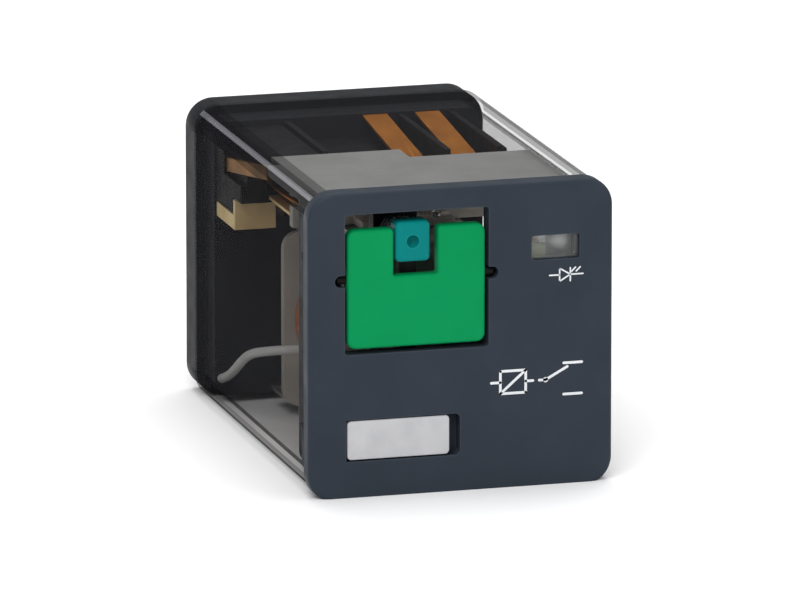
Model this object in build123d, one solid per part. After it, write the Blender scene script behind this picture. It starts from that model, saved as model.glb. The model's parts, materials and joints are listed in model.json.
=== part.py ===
from build123d import *
import math
import os

# Plug-in control relay, three changeover contacts, eleven round pins.
# Millimetres. X is right, Z is up, +Y points out of the pins into the socket.
# The origin is the centre of the base's seating face, on the spigot's axis.

# ---- driving dimensions -------------------------------------------------
WIDTH = 35.5                # side of the square front plate
BASE_W = 34.6               # side of the base flange, inside the cover's outline
DEPTH = 56.0                # seating face to front face
CORNER_R = 3.2
FLANGE_T = 5.0              # base flange
SKIRT_T = 4.0               # part of the base inside the cover
COVER_W = 35.0
COVER_WALL = 1.2
PLATE_T = 2.2               # front plate
CLEAR = 0.05                # gap between pieces that only touch

PIN_COUNT = 11
PIN_PCD = 19.05
PIN_R = 1.18
PIN_LENGTH = 11.0
SPIGOT_R = 6.35
SPIGOT_LENGTH = 14.5

ARMATURE_TILT = 7.0         # degrees from released to attracted
COIL_Z = -5.6               # height of the coil's axis
COIL_R = 9.2
CORE_R = 3.5
POLE_Y = -40.0              # plane of the pole face
YOKE_REAR_Y = -15.0
YOKE_TOP_Z = 6.7
SHEET_T = 1.8               # yoke thickness
PIVOT_Y = POLE_Y - 0.1      # armature hinge line
PIVOT_Z = 6.95
ARMATURE_T = 1.25           # armature thickness, and the radius of its knee
SPRING_Z = -12.7            # height of the armature spring

POLE_X = (-11.0, 3.1, 9.4)  # the three contact sets, left to right
STRIP_W = 3.0
STRIP_T = 0.4
BLADE_T = 0.3
BLADE_Z = 11.0
BLADE_ROOT_Y = -10.0        # where the moving blades flex
NC_Z = 9.4
RIVET_Y = -27.0
HEAD_R = 1.0                # contact rivet head
SHANK_R = 0.55
NO_REAR_Z = (14.35, 15.85, 15.85)
NO_FRONT_Z = 13.55
STRIP_FRONT_Y = -28.6

BUTTON_X = -5.6
BUTTON_Z = 11.7
STEM_R = 1.1                # guide stem of the button
DOOR_X = (-13.2, 2.85)
DOOR_Z = (-0.3, 13.3)
DOOR_AXIS_Y = -54.9
DOOR_AXIS_Z = 7.6
NOTCH_X = (-7.8, -2.7)
NOTCH_Z = 7.85
APERTURE_X = (-13.55, 3.2)
APERTURE_Z = (-0.85, 15.2)
TAG_X = (-13.25, -1.35)
TAG_Z = (-13.0, -8.5)
TAG_PEG_X = (-11.0, -3.6)
WINDOW = (11.0, 10.1, 5.6, 2.8)  # centre x, centre z, width, height
LAMP = (12.6, 10.1)         # centre x and z of the lamp
SNAP_Z = 12.3               # height of the cover's snaps

# ---- derived places -----------------------------------------------------
FRONT_Y = -DEPTH
PLATE_BACK_Y = FRONT_Y + PLATE_T
COVER_BACK_Y = -FLANGE_T
SKIRT_FRONT_Y = -FLANGE_T - SKIRT_T
COVER_IN = COVER_W - 2 * COVER_WALL
INNER_W = COVER_IN - 0.2
RING_FRONT_Y = -49.8        # back edge of the plate's skirt, front of the carrier
ROOF_BACK_Y = -30.4         # rear edge of the carrier's roof
ROOF_SIDE_Y = -26.2         # rear edge of the roof's longer left part
BLOCK_FRONT_Y = -20.0
BLOCK_SIDE = 15.9
CARD_Z = PIVOT_Z + ARMATURE_T + CLEAR
TAG_MID_Z = sum(TAG_Z) / 2
PIVOT = (0, PIVOT_Y, PIVOT_Z)


# ---- small helpers ------------------------------------------------------
def block(x, y, z):
    """Box between the low and high values of each axis."""
    size = (x[1] - x[0], y[1] - y[0], z[1] - z[0])
    return Pos((x[0] + x[1]) / 2, (y[0] + y[1]) / 2, (z[0] + z[1]) / 2) * Box(*size)


def slab(width, height, radius, y, x=0.0, z=0.0):
    """Rounded rectangle standing across Y, between two y values."""
    plane = Plane(origin=(x, y[1], z), x_dir=(1, 0, 0), z_dir=(0, -1, 0))
    return extrude(plane * RectangleRounded(width, height, radius), y[1] - y[0])


def rod_y(radius, y, x=0.0, z=0.0):
    """Cylinder along Y."""
    return Pos(x, (y[0] + y[1]) / 2, z) * Rot(90, 0, 0) * Cylinder(radius, y[1] - y[0])


def rod_x(radius, x, y=0.0, z=0.0):
    """Cylinder along X."""
    return Pos((x[0] + x[1]) / 2, y, z) * Rot(0, 90, 0) * Cylinder(radius, x[1] - x[0])


def rod_z(radius, z, x=0.0, y=0.0):
    """Cylinder along Z."""
    return Pos(x, y, (z[0] + z[1]) / 2) * Cylinder(radius, z[1] - z[0])


def wire(points, radii, radius):
    """Round wire along straight runs joined by tangent arcs."""
    path = FilletPolyline(*points, radius=radii)
    start = Plane(origin=path @ 0, z_dir=path % 0)
    return sweep(start * Circle(radius), path=path)


def turned(shape, degrees, origin):
    """Shape turned about an axis along X through origin."""
    return Pos(*origin) * Rot(degrees, 0, 0) * Pos(*(-v for v in origin)) * shape


def pin_place(index):
    """X and Z of a plug pin; the gap for the key is at the bottom."""
    angle = math.radians(-90 + 360 / PIN_COUNT * (index + 0.5))
    return PIN_PCD / 2 * math.cos(angle), PIN_PCD / 2 * math.sin(angle)


# ---- base and pins ------------------------------------------------------
def make_base():
    """Moulded base: flange, inner skirt, keyed spigot and pin bores."""
    flange = slab(BASE_W, BASE_W, CORNER_R, (-FLANGE_T, 0))
    flange = chamfer(flange.faces().sort_by(Axis.Y)[-1].edges(), 0.4)
    skirt = slab(INNER_W, INNER_W, 1.6, (SKIRT_FRONT_Y, -FLANGE_T))
    spigot = rod_y(SPIGOT_R, (-1, SPIGOT_LENGTH))
    spigot = chamfer(spigot.faces().sort_by(Axis.Y)[-1].edges(), 1.2)
    key = block((-1.0, 1.0), (-1, SPIGOT_LENGTH - 1.5), (-SPIGOT_R - 1.0, -SPIGOT_R + 2))
    hollow = rod_y(SPIGOT_R - 1.8, (2.0, SPIGOT_LENGTH + 1))
    body = flange + skirt + spigot + key - hollow
    groove = rod_y(15.2, (-0.5, 1)) - rod_y(14.2, (-1, 2))
    body -= groove
    for index in range(PIN_COUNT):
        x, z = pin_place(index)
        body -= rod_y(1.42, (-7.5, 1), x, z)
    return body


def make_plug_pin(index):
    """Round plug pin with a thicker root and a domed tip."""
    x, z = pin_place(index)
    shaft = rod_y(PIN_R, (0, PIN_LENGTH), x, z)
    shaft = fillet(shaft.faces().sort_by(Axis.Y)[-1].edges(), 0.7)
    return shaft + rod_y(1.4, (-7.5, 0), x, z)


# ---- cover, plate, lens, carrier ---------------------------------------
def snap_places():
    """Side and height of the four snaps between plate and cover."""
    return [(side, height) for side in (-1, 1) for height in (-SNAP_Z, SNAP_Z)]


def make_cover():
    """Clear cover: square tube with windows for the plate's snaps."""
    span = (PLATE_BACK_Y, COVER_BACK_Y)
    cover = slab(COVER_W, COVER_W, 3.0, span)
    cover -= slab(COVER_IN, COVER_IN, 1.8, (span[0] - 1, span[1] + 1))
    for side, height in snap_places():
        x = sorted((side * 15.8, side * 18.5))
        cover -= block(x, (-52.2, -50.4), (height - 2.5, height + 2.5))
    return cover


def make_front_plate():
    """Grey front plate with door aperture, tag recess, window and skirt."""
    plate = slab(WIDTH, WIDTH, CORNER_R, (FRONT_Y, PLATE_BACK_Y))
    plate = fillet(plate.faces().sort_by(Axis.Y)[0].edges(), 0.6)
    plate += slab(INNER_W, INNER_W, 1.6, (PLATE_BACK_Y, RING_FRONT_Y))
    plate -= slab(INNER_W - 2, INNER_W - 2, 0.8, (PLATE_BACK_Y, RING_FRONT_Y + 1))
    for side, height in snap_places():
        x = sorted((side * 15.9, side * 17.1))
        plate += block(x, (-52.0, -50.6), (height - 2.2, height + 2.2))
    through = (FRONT_Y - 1, PLATE_BACK_Y + 0.2)
    centre = [(a + b) / 2 for a, b in (APERTURE_X, APERTURE_Z)]
    size = [b - a for a, b in (APERTURE_X, APERTURE_Z)]
    plate -= slab(size[0], size[1], 0.4, through, *centre)
    for x in (APERTURE_X[0], APERTURE_X[1]):
        pocket = slab(2.3, 1.4, 0.69, (FRONT_Y - 1, -54.2), x, DOOR_AXIS_Z)
        plate -= pocket
    recess_z = (TAG_Z[0] - 0.15, TAG_Z[1] + 0.15)
    plate -= block((TAG_X[0] - 0.15, TAG_X[1] + 0.15), (FRONT_Y - 1, -55.0), recess_z)
    notch_height = recess_z[1] - recess_z[0]
    plate -= slab(1.6, notch_height, 0.6, (FRONT_Y - 1, -54.4), TAG_X[1] + 0.4, TAG_MID_Z)
    for x in TAG_PEG_X:
        plate -= rod_y(0.68, through, x, TAG_MID_Z)
    plate -= slab(WINDOW[2], WINDOW[3], 0.3, through, WINDOW[0], WINDOW[1])
    return plate


def make_window_lens():
    """Clear lens of the status window, held by a flange from behind."""
    lens = slab(WINDOW[2] - 0.1, WINDOW[3] - 0.1, 0.25, (-55.3, PLATE_BACK_Y + CLEAR), *WINDOW[:2])
    flange = (PLATE_BACK_Y + CLEAR, PLATE_BACK_Y + 0.6)
    return lens + slab(WINDOW[2] + 1, WINDOW[3] + 1, 0.4, flange, *WINDOW[:2])


def make_carrier():
    """Light moulded frame behind the plate: roof, legs and guides."""
    ring = (RING_FRONT_Y, -45.0)
    body = slab(31.8, 31.6, 1.6, ring)
    body -= block((-14.8, 14.8), (ring[0] - 1, ring[1] + 1), (-14.7, 14.2))
    body += block((-15.5, 15.5), (ring[1], ROOF_BACK_Y), (14.4, 15.6))
    body += block((-14.0, 1.2), (ROOF_BACK_Y - 1, ROOF_SIDE_Y), (14.9, 15.6))
    body += block((BUTTON_X - 2.6, BUTTON_X + 2.6), (-48.5, -47.0), (9.3, 14.3))
    body -= rod_y(STEM_R + CLEAR, (-50, -45), BUTTON_X, BUTTON_Z)
    body += block((7.8, 14.9), (-47.9, -46.9), (5.4, 9.4))
    body -= block((9.15, 9.85), (-48, -46), (6.3, 8.8))
    return body


# ---- magnet system ------------------------------------------------------
def make_yoke():
    """L-shaped iron yoke: rear leg with the core's hole, top leg."""
    rear = block((-8, 8), (YOKE_REAR_Y - SHEET_T, YOKE_REAR_Y), (-13.5, YOKE_TOP_Z))
    top = block((-8, 8), (POLE_Y, YOKE_REAR_Y), (YOKE_TOP_Z - SHEET_T, YOKE_TOP_Z))
    yoke = rear + top
    yoke = fillet(yoke.edges().filter_by(Axis.X).group_by(Axis.Z)[-1].sort_by(Axis.Y)[-1], 1.5)
    return yoke - rod_y(CORE_R - 0.8, (YOKE_REAR_Y - 3, YOKE_REAR_Y + 1), 0, COIL_Z)


def make_core():
    """Iron core: pole disc, shaft and the rivet end in the yoke."""
    core = rod_y(5.0, (POLE_Y, POLE_Y + 1.0), 0, COIL_Z)
    core += rod_y(CORE_R, (POLE_Y + 1.0, YOKE_REAR_Y - SHEET_T), 0, COIL_Z)
    core += rod_y(CORE_R - 0.8, (YOKE_REAR_Y - SHEET_T, YOKE_REAR_Y + 0.6), 0, COIL_Z)
    return core


def make_bobbin():
    """Ivory coil former with square flanges and a spring peg."""
    front = (POLE_Y + 1.0 + CLEAR, POLE_Y + 2.0)
    back = (YOKE_REAR_Y - SHEET_T - 1.1, YOKE_REAR_Y - SHEET_T - CLEAR)
    body = slab(20.6, 20.6, 2.0, front, 0, COIL_Z)
    body += slab(20.6, 20.6, 2.0, back, 0, COIL_Z)
    body += rod_y(4.4, (front[0], back[1]), 0, COIL_Z)
    body -= rod_y(CORE_R + CLEAR, (front[0] - 1, back[1] + 1), 0, COIL_Z)
    body += rod_y(0.8, (front[0] - 0.7, front[1]), 0, SPRING_Z)
    return body


def make_coil_winding():
    """Copper winding as one barrel."""
    span = (POLE_Y + 2.0 + CLEAR, YOKE_REAR_Y - SHEET_T - 1.15)
    return rod_y(COIL_R, span, 0, COIL_Z) - rod_y(4.45, (span[0] - 1, span[1] + 1), 0, COIL_Z)


def make_coil_tape():
    """Band of tape round the middle of the winding."""
    outer = rod_y(COIL_R + 0.3, (-34.0, -21.5), 0, COIL_Z)
    return outer - rod_y(COIL_R + 0.05, (-35.0, -20.5), 0, COIL_Z)


def make_coil_terminals():
    """Two tinned tabs on the rear flange of the bobbin."""
    tabs = [block((x - 0.9, x + 0.9), (-16.75, -12.0), (-15.2, -14.8)) for x in (-9.2, 9.2)]
    return Compound(children=tabs)


def make_coil_leads():
    """Insulated leads: a short one from a tab, a long one from the base to the winding."""
    short = [(9.2, -14.5, -14.2), (9.2, -12.0, -14.2), (9.2, -9.35, -12.6)]
    long = [(-15.4, -9.3, -14.2), (-15.4, -13.0, -13.0), (-15.2, -20.6, -8.6), (-9.9, -24.0, -7.7)]
    return Compound(children=[wire(short, [1.6], 0.5), wire(long, [2.0, 3.0], 0.55)])


# ---- armature group -----------------------------------------------------
def make_armature():
    """Bell-crank iron armature, drawn attracted, then turned to rest."""
    leg = block((-7, 7), (PIVOT_Y - ARMATURE_T, PIVOT_Y), (-10.5, PIVOT_Z))
    leg += block((-3, 3), (PIVOT_Y - ARMATURE_T, PIVOT_Y), (-14.2, -10.4))
    top = block((-7, 7), (PIVOT_Y, -30.2), (PIVOT_Z + CLEAR, PIVOT_Z + ARMATURE_T))
    behind = block((-8, 8), (PIVOT_Y, PIVOT_Y + 3), (PIVOT_Z - 3, PIVOT_Z))
    knee = rod_x(ARMATURE_T, (-7, 7), PIVOT_Y, PIVOT_Z)
    knee -= Pos(0, 0, CLEAR) * behind
    knee -= turned(behind, -ARMATURE_TILT, PIVOT)
    return turned(leg, -ARMATURE_TILT, PIVOT) + knee + top


def make_lifter_card():
    """Ivory card on the armature's end that lifts all three blades."""
    card = block((-12.8, 11.2), (-31.0, -29.8), (CARD_Z, BLADE_Z - 0.25))
    foot = block((-5.5, 5.5), (-34.5, -29.8), (CARD_Z, CARD_Z + 1.0))
    return card + foot


def make_armature_rivets():
    """Two rivet heads that fix the card on the armature."""
    heads = []
    for x in (-3.5, 3.5):
        head = rod_z(0.8, (CARD_Z + 1.0, CARD_Z + 1.6), x, -33.0)
        heads.append(fillet(head.faces().sort_by(Axis.Z)[-1].edges(), 0.3))
    return Compound(children=heads)


# ---- contacts -----------------------------------------------------------
def make_strip(x, rear, front):
    """Flat contact strip between two (y, z) points, with its rivet hole."""
    length = math.hypot(rear[0] - front[0], rear[1] - front[1])
    slope = math.degrees(math.atan2(rear[1] - front[1], rear[0] - front[0]))
    flat = block((-STRIP_W / 2, STRIP_W / 2), (-length, 0), (-STRIP_T / 2, STRIP_T / 2))
    flat -= rod_z(0.6, (-1, 1), 0, (RIVET_Y - rear[0]) / math.cos(math.radians(slope)))
    return Pos(x, rear[0], rear[1]) * Rot(slope, 0, 0) * flat


def make_strip_rivet(x, rear, front, side):
    """Silver contact: head on one side of a strip, shank through it."""
    slope = math.degrees(math.atan2(rear[1] - front[1], rear[0] - front[0]))
    along = (RIVET_Y - rear[0]) / math.cos(math.radians(slope))
    head = rod_z(HEAD_R, sorted((side * STRIP_T / 2, side * (STRIP_T / 2 + 0.5))), 0, along)
    shank = rod_z(SHANK_R, (-STRIP_T / 2, STRIP_T / 2), 0, along)
    return Pos(x, rear[0], rear[1]) * Rot(slope, 0, 0) * (head + shank)


def no_line(index):
    """Rear and front (y, z) ends of an upper strip's centreline."""
    return (SKIRT_FRONT_Y - CLEAR, NO_REAR_Z[index]), (STRIP_FRONT_Y, NO_FRONT_Z)


def nc_line():
    """Rear and front (y, z) ends of a lower strip's centreline."""
    return (SKIRT_FRONT_Y - CLEAR, NC_Z), (STRIP_FRONT_Y, NC_Z)


def make_blade(x):
    """Moving blade, tapered towards its free end."""
    half = STRIP_W / 2
    outline = [(-half, BLADE_ROOT_Y + 0.1), (half, BLADE_ROOT_Y + 0.1), (half, -26.0)]
    outline += [(half - 0.4, -31.6), (-half + 0.4, -31.6), (-half, -26.0)]
    blade = extrude(make_face(Polyline(*outline, close=True)), BLADE_T)
    blade = Pos(x, 0, BLADE_Z - BLADE_T / 2) * blade
    return blade - rod_z(0.6, (BLADE_Z - 1, BLADE_Z + 1), x, RIVET_Y)


def make_blade_rivets():
    """Double-headed silver contacts of the moving blades."""
    rivets = []
    for x in POLE_X:
        rivet = rod_z(SHANK_R, (BLADE_Z - 0.2, BLADE_Z + 0.2), x, RIVET_Y)
        for side in (-1, 1):
            heights = sorted((side * BLADE_T / 2, side * (BLADE_T / 2 + 0.6)))
            rivet += Pos(0, 0, BLADE_Z) * rod_z(HEAD_R, heights, x, RIVET_Y)
        rivets.append(rivet)
    return Compound(children=rivets)


def make_contact_block():
    """Black block that holds the strips, with fins between the poles."""
    body = block((-BLOCK_SIDE, BLOCK_SIDE), (BLOCK_FRONT_Y, SKIRT_FRONT_Y), (7.0, 13.6))
    for x in (-7.5, 6.25, 12.4):
        body += block((x - 0.35, x + 0.35), (-28.9, SKIRT_FRONT_Y), (7.0, 15.9))
    for x in POLE_X:
        body -= block((x - 1.55, x + 1.55), (-21, -8), (9.15, 9.65))
        body -= block((x - 1.8, x + 1.8), (-21, -8), (10.5, 11.5))
        body -= block((x - 1.8, x + 1.8), (-21, -15.0), (11.4, 14))
    for side in (-1, 1):
        x = sorted((side * 10.9, side * 16.0))
        body -= block(x, (-21, -16.4), (6.9, 8.85))
    body -= block((-8.0, -7.0), (-29, ROOF_SIDE_Y + CLEAR), (14.8, 16))
    return body - block((-16.0, -15.1), (-21, -12.4), (10.9, 13.7))


def make_arc_shield():
    """Black shield over the left contact set."""
    roof = block((-14.2, -8.1), (ROOF_SIDE_Y + CLEAR, SKIRT_FRONT_Y - CLEAR), (14.9, 15.5))
    legs = block((-8.7, -8.1), (-20.0, SKIRT_FRONT_Y - CLEAR), (13.6 + CLEAR, 14.9))
    return roof + legs


def make_common_strap(side):
    """Brass strap under the block, with a terminal face turned to the front."""
    face = block(sorted((side * 11.0, side * BLOCK_SIDE)), (-17.2, -16.5), (5.2, 8.7))
    x = sorted((side * (BLOCK_SIDE - 0.7), side * BLOCK_SIDE))
    return face + block(x, (-16.6, SKIRT_FRONT_Y - CLEAR), (5.2, 6.9))


def make_feed_strap():
    """Brass strap on edge that rises beside the left contact set."""
    rise = [(-12.45, 11.1), (-12.45, 12.75), (-29.9, 15.45), (-29.9, 13.8)]
    side = extrude(Plane.YZ * make_face(Polyline(*rise, close=True)), 0.4)
    tip = block((-15.6, -14.3), (-30.3, -29.9), (13.8, 15.45))
    return Pos(-15.6, 0, 0) * side + tip


def make_common_strap_centre():
    """Brass strap of the middle blade, behind the yoke."""
    return block((1.8, 4.4), (-14.0, SKIRT_FRONT_Y - CLEAR), (5.6, 6.9))


# ---- indicator ----------------------------------------------------------
def make_indicator_board():
    """Small circuit board behind the right half of the window."""
    return block((11.2, 14.7), (-49.7, -48.9), (1.5, 14.1))


def make_indicator_led():
    """Round-nosed LED with its collar."""
    led = rod_y(1.25, (-52.9, -49.75), *LAMP)
    led = fillet(led.faces().sort_by(Axis.Y)[0].edges(), 1.1)
    return led + rod_y(1.5, (-50.4, -49.75), *LAMP)


def make_indicator_resistor():
    """Axial resistor standing on the board, with its bent legs."""
    body = rod_z(0.8, (3.6, 7.2), 13.5, -50.9)
    body = fillet(body.edges().filter_by(GeomType.CIRCLE), 0.35)
    for z in (3.0, 7.8):
        legs = rod_y(0.25, (-50.9, -49.75), 13.5, z)
        legs += rod_z(0.25, sorted((z, 5.4)), 13.5, -50.9)
        body += legs
    return body


def make_indicator_diode():
    """Free-wheel diode beside the resistor."""
    body = rod_z(0.6, (4.0, 6.6), 11.95, -50.45)
    return body + rod_z(0.2, (2.6, 8.0), 11.95, -50.45)


def make_indicator_lead():
    """Insulated lead from the base, along the right wall, to the board."""
    points = [
        (15.2, -9.05, -13.6),
        (15.2, -20.0, -13.4),
        (15.2, -31.0, -10.8),
        (13.6, -42.5, -3.5),
        (13.5, -48.4, 2.6),
    ]
    return wire(points, [30.0, 14.0, 6.0], 0.6)


# ---- springs ------------------------------------------------------------
def make_button_spring():
    """Return spring of the button, as a sleeve of the coil's size."""
    span = (-52.5 + CLEAR, -48.5 - CLEAR)
    return rod_y(1.9, span, BUTTON_X, BUTTON_Z) - rod_y(1.3, (-53, -48), BUTTON_X, BUTTON_Z)


def make_armature_spring():
    """Return spring of the armature, as a sleeve of the coil's size."""
    span = (-42.3, POLE_Y + 1.0)
    return rod_y(1.6, span, 0, SPRING_Z) - rod_y(1.0, (-43, -38), 0, SPRING_Z)


# ---- moving front pieces ------------------------------------------------
def make_test_button():
    """Push button with guide stem, drop leg and pusher rod."""
    x = (BUTTON_X - 2.0, BUTTON_X + 2.0)
    head = block(x, (-55.9, -53.7), (9.4, 14.0))
    head = fillet(head.faces().sort_by(Axis.Y)[0].edges(), 0.4)
    head -= rod_y(0.5, (-57, -55.2), BUTTON_X, BUTTON_Z)
    leg = block((BUTTON_X - 1.0, BUTTON_X + 1.0), (-53.7, -52.5), (-3.0, 14.0))
    rod = block((BUTTON_X - 1.0, BUTTON_X + 1.0), (-52.5, -43.3), (-3.0, -1.0))
    stem = rod_y(STEM_R, (-52.5, -46.2), BUTTON_X, BUTTON_Z)
    return head + leg + rod + stem


def make_lock_door():
    """Green lock-down door, notched round the button, with two trunnions."""
    centre = [sum(pair) / 2 for pair in (DOOR_X, DOOR_Z)]
    size = [b - a for a, b in (DOOR_X, DOOR_Z)]
    door = slab(size[0], size[1], 1.0, (-55.9, -54.3), *centre)
    door = fillet(door.faces().sort_by(Axis.Y)[0].edges(), 0.45)
    door -= block(NOTCH_X, (-57, -53), (NOTCH_Z, 15))
    door += rod_x(0.5, (DOOR_X[0] - 1.2, DOOR_X[0] + 1), DOOR_AXIS_Y, DOOR_AXIS_Z)
    door += rod_x(0.5, (DOOR_X[1] - 1, DOOR_X[1] + 1.2), DOOR_AXIS_Y, DOOR_AXIS_Z)
    return door


def make_legend_tag():
    """White legend tag with two pegs."""
    size = [b - a for a, b in (TAG_X, TAG_Z)]
    tag = slab(size[0], size[1], 0.5, (-55.9, -55.1), sum(TAG_X) / 2, TAG_MID_Z)
    for x in TAG_PEG_X:
        tag += rod_y(0.6, (-55.1, -54.0), x, TAG_MID_Z)
    return tag


def make_flag():
    """Status flag on its arm, behind the left half of the window."""
    face = block((8.4, 10.7), (-52.9, -52.4), (6.4, 9.9))
    return face + block((9.2, 9.8), (-52.5, -46.0), (6.6, 7.4))


# ---- all nodes ----------------------------------------------------------
def all_nodes():
    """Name and shape of every node."""
    nodes = {"base": make_base()}
    for index in range(PIN_COUNT):
        nodes[f"plug_pin_{index + 1}"] = make_plug_pin(index)
    nodes["cover"] = make_cover()
    nodes["front_plate"] = make_front_plate()
    nodes["window_lens"] = make_window_lens()
    nodes["carrier"] = make_carrier()
    nodes["contact_block"] = make_contact_block()
    nodes["arc_shield"] = make_arc_shield()
    nodes["yoke"] = make_yoke()
    nodes["core"] = make_core()
    nodes["bobbin"] = make_bobbin()
    nodes["coil_winding"] = make_coil_winding()
    nodes["coil_tape"] = make_coil_tape()
    nodes["coil_terminals"] = make_coil_terminals()
    nodes["coil_leads"] = make_coil_leads()
    for index, x in enumerate(POLE_X):
        nodes[f"no_strip_{index + 1}"] = make_strip(x, *no_line(index))
        nodes[f"nc_strip_{index + 1}"] = make_strip(x, *nc_line())
        nodes[f"moving_blade_{index + 1}"] = make_blade(x)
    no_rivets = [make_strip_rivet(x, *no_line(i), -1) for i, x in enumerate(POLE_X)]
    nodes["no_rivets"] = Compound(children=no_rivets)
    nodes["nc_rivets"] = Compound(children=[make_strip_rivet(x, *nc_line(), 1) for x in POLE_X])
    nodes["blade_rivets"] = make_blade_rivets()
    nodes["common_strap_left"] = make_common_strap(-1)
    nodes["common_strap_right"] = make_common_strap(1)
    nodes["common_strap_centre"] = make_common_strap_centre()
    nodes["feed_strap_left"] = make_feed_strap()
    nodes["indicator_board"] = make_indicator_board()
    nodes["indicator_led"] = make_indicator_led()
    nodes["indicator_resistor"] = make_indicator_resistor()
    nodes["indicator_diode"] = make_indicator_diode()
    nodes["indicator_lead"] = make_indicator_lead()
    nodes["armature"] = make_armature()
    nodes["lifter_card"] = make_lifter_card()
    nodes["armature_rivets"] = make_armature_rivets()
    nodes["armature_spring"] = make_armature_spring()
    nodes["button_spring"] = make_button_spring()
    nodes["test_button"] = make_test_button()
    nodes["lock_door"] = make_lock_door()
    nodes["legend_tag"] = make_legend_tag()
    nodes["flag"] = make_flag()
    return nodes


os.makedirs("parts", exist_ok=True)
for node, shape in all_nodes().items():
    export_step(shape, f"parts/{node}.step")
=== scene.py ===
import json
import logging
import math
from dataclasses import dataclass, field
from enum import Enum

import bmesh
import bpy
import numpy as np
from mathutils import Matrix, Vector

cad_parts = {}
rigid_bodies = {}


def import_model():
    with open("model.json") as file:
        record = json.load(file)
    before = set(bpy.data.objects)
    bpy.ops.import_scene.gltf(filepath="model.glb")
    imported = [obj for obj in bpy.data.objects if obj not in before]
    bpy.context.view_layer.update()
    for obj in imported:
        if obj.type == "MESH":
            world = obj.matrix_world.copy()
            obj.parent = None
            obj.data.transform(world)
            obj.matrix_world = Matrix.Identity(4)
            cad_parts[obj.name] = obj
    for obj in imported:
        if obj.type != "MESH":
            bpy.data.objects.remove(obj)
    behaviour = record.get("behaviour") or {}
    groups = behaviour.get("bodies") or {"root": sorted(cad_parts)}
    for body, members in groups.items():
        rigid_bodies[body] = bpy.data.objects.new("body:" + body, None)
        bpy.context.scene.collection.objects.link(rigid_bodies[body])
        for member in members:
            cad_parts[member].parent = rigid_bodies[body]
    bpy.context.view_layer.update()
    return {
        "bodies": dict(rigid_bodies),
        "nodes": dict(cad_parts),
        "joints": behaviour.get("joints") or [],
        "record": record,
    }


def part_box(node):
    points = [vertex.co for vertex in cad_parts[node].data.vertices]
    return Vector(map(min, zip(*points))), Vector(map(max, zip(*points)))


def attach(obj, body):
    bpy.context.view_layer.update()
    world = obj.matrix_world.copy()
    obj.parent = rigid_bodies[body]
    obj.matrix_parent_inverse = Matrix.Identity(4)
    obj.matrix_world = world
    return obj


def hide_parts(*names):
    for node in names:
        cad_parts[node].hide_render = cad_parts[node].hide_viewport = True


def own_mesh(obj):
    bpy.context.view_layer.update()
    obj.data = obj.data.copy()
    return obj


# Looks of a plug-in control relay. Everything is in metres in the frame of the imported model:
# X right, Z up, +Y out of the pins. Sizes written in millimetres carry the factor MM.
MM = 0.001
LOG = logging.getLogger("relay")
Array = np.ndarray
Part = tuple[Array, list]


# ---------------------------------------------------------------- colours and nodes
def linear(code: str) -> tuple[float, float, float, float]:
    """Turn an sRGB hex code into linear colour.

    Args:
        code: six hex digits with a leading hash.

    Returns:
        Red, green, blue and an alpha of one.
    """
    values = np.array([int(code[i:i + 2], 16) / 255 for i in (1, 3, 5)])
    low = values / 12.92
    high = ((values + 0.055) / 1.055) ** 2.4
    red, green, blue = np.where(values <= 0.04045, low, high).tolist()
    return red, green, blue, 1.0


def add_node(tree: bpy.types.NodeTree, kind: str, settings: dict | None = None,
             links: dict | None = None) -> bpy.types.Node:
    """Add a node to a material's tree.

    Args:
        tree: the node tree.
        kind: Blender's name of the node type, without its ShaderNode prefix.
        settings: attribute names, or names or numbers of input sockets, to values.
        links: names or numbers of input sockets, to output sockets.

    Returns:
        The new node.
    """
    node = tree.nodes.new("ShaderNode" + kind)
    for key, value in (settings or {}).items():
        if isinstance(key, str) and hasattr(node, key):
            setattr(node, key, value)
        else:
            node.inputs[key].default_value = value
    for key, socket in (links or {}).items():
        tree.links.new(socket, node.inputs[key])
    return node


def new_material(name: str) -> tuple[bpy.types.Material, bpy.types.NodeTree]:
    """Make an empty node material.

    Args:
        name: the material's name.

    Returns:
        The material and its empty tree.
    """
    material = bpy.data.materials.new(name)
    material.use_nodes = True
    material.node_tree.nodes.clear()
    return material, material.node_tree


def object_noise(tree: bpy.types.NodeTree, size_mm: float, detail: float = 2.0,
                 stretch: tuple[float, float, float] = (1, 1, 1)) -> bpy.types.NodeSocket:
    """Noise on the piece's own coordinates.

    Args:
        tree: the node tree.
        size_mm: size of one grain.
        detail: octaves of the noise.
        stretch: how much longer a grain is along each axis.

    Returns:
        The noise's factor socket.
    """
    place = add_node(tree, "TexCoord").outputs["Object"]
    scale = [1 / (size_mm * MM * s) for s in stretch]
    mapped = add_node(tree, "Mapping", {"Scale": scale}, {"Vector": place}).outputs[0]
    noise = add_node(tree, "TexNoise", {"Scale": 1.0, "Detail": detail}, {"Vector": mapped})
    return noise.outputs[0]


def ranged(tree: bpy.types.NodeTree, value: bpy.types.NodeSocket, low: float, high: float,
           start: float = 0.3, stop: float = 0.7) -> bpy.types.NodeSocket:
    """Spread a factor over a range of values.

    Args:
        tree: the node tree.
        value: the factor.
        low: result at start.
        high: result at stop.
        start: factor that gives low.
        stop: factor that gives high.

    Returns:
        The result's socket.
    """
    spread = {"From Min": start, "From Max": stop, "To Min": low, "To Max": high}
    return add_node(tree, "MapRange", spread, {"Value": value}).outputs["Result"]


def blended(tree: bpy.types.NodeTree, factor: bpy.types.NodeSocket, first: str,
            second: str) -> bpy.types.NodeSocket:
    """Blend two colours by a factor.

    Args:
        tree: the node tree.
        factor: zero for the first colour, one for the second.
        first: sRGB hex code.
        second: sRGB hex code.

    Returns:
        The colour's socket.
    """
    ramp = add_node(tree, "ValToRGB", links={"Fac": factor})
    ramp.color_ramp.elements[0].color = linear(first)
    ramp.color_ramp.elements[1].color = linear(second)
    return ramp.outputs["Color"]


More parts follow.
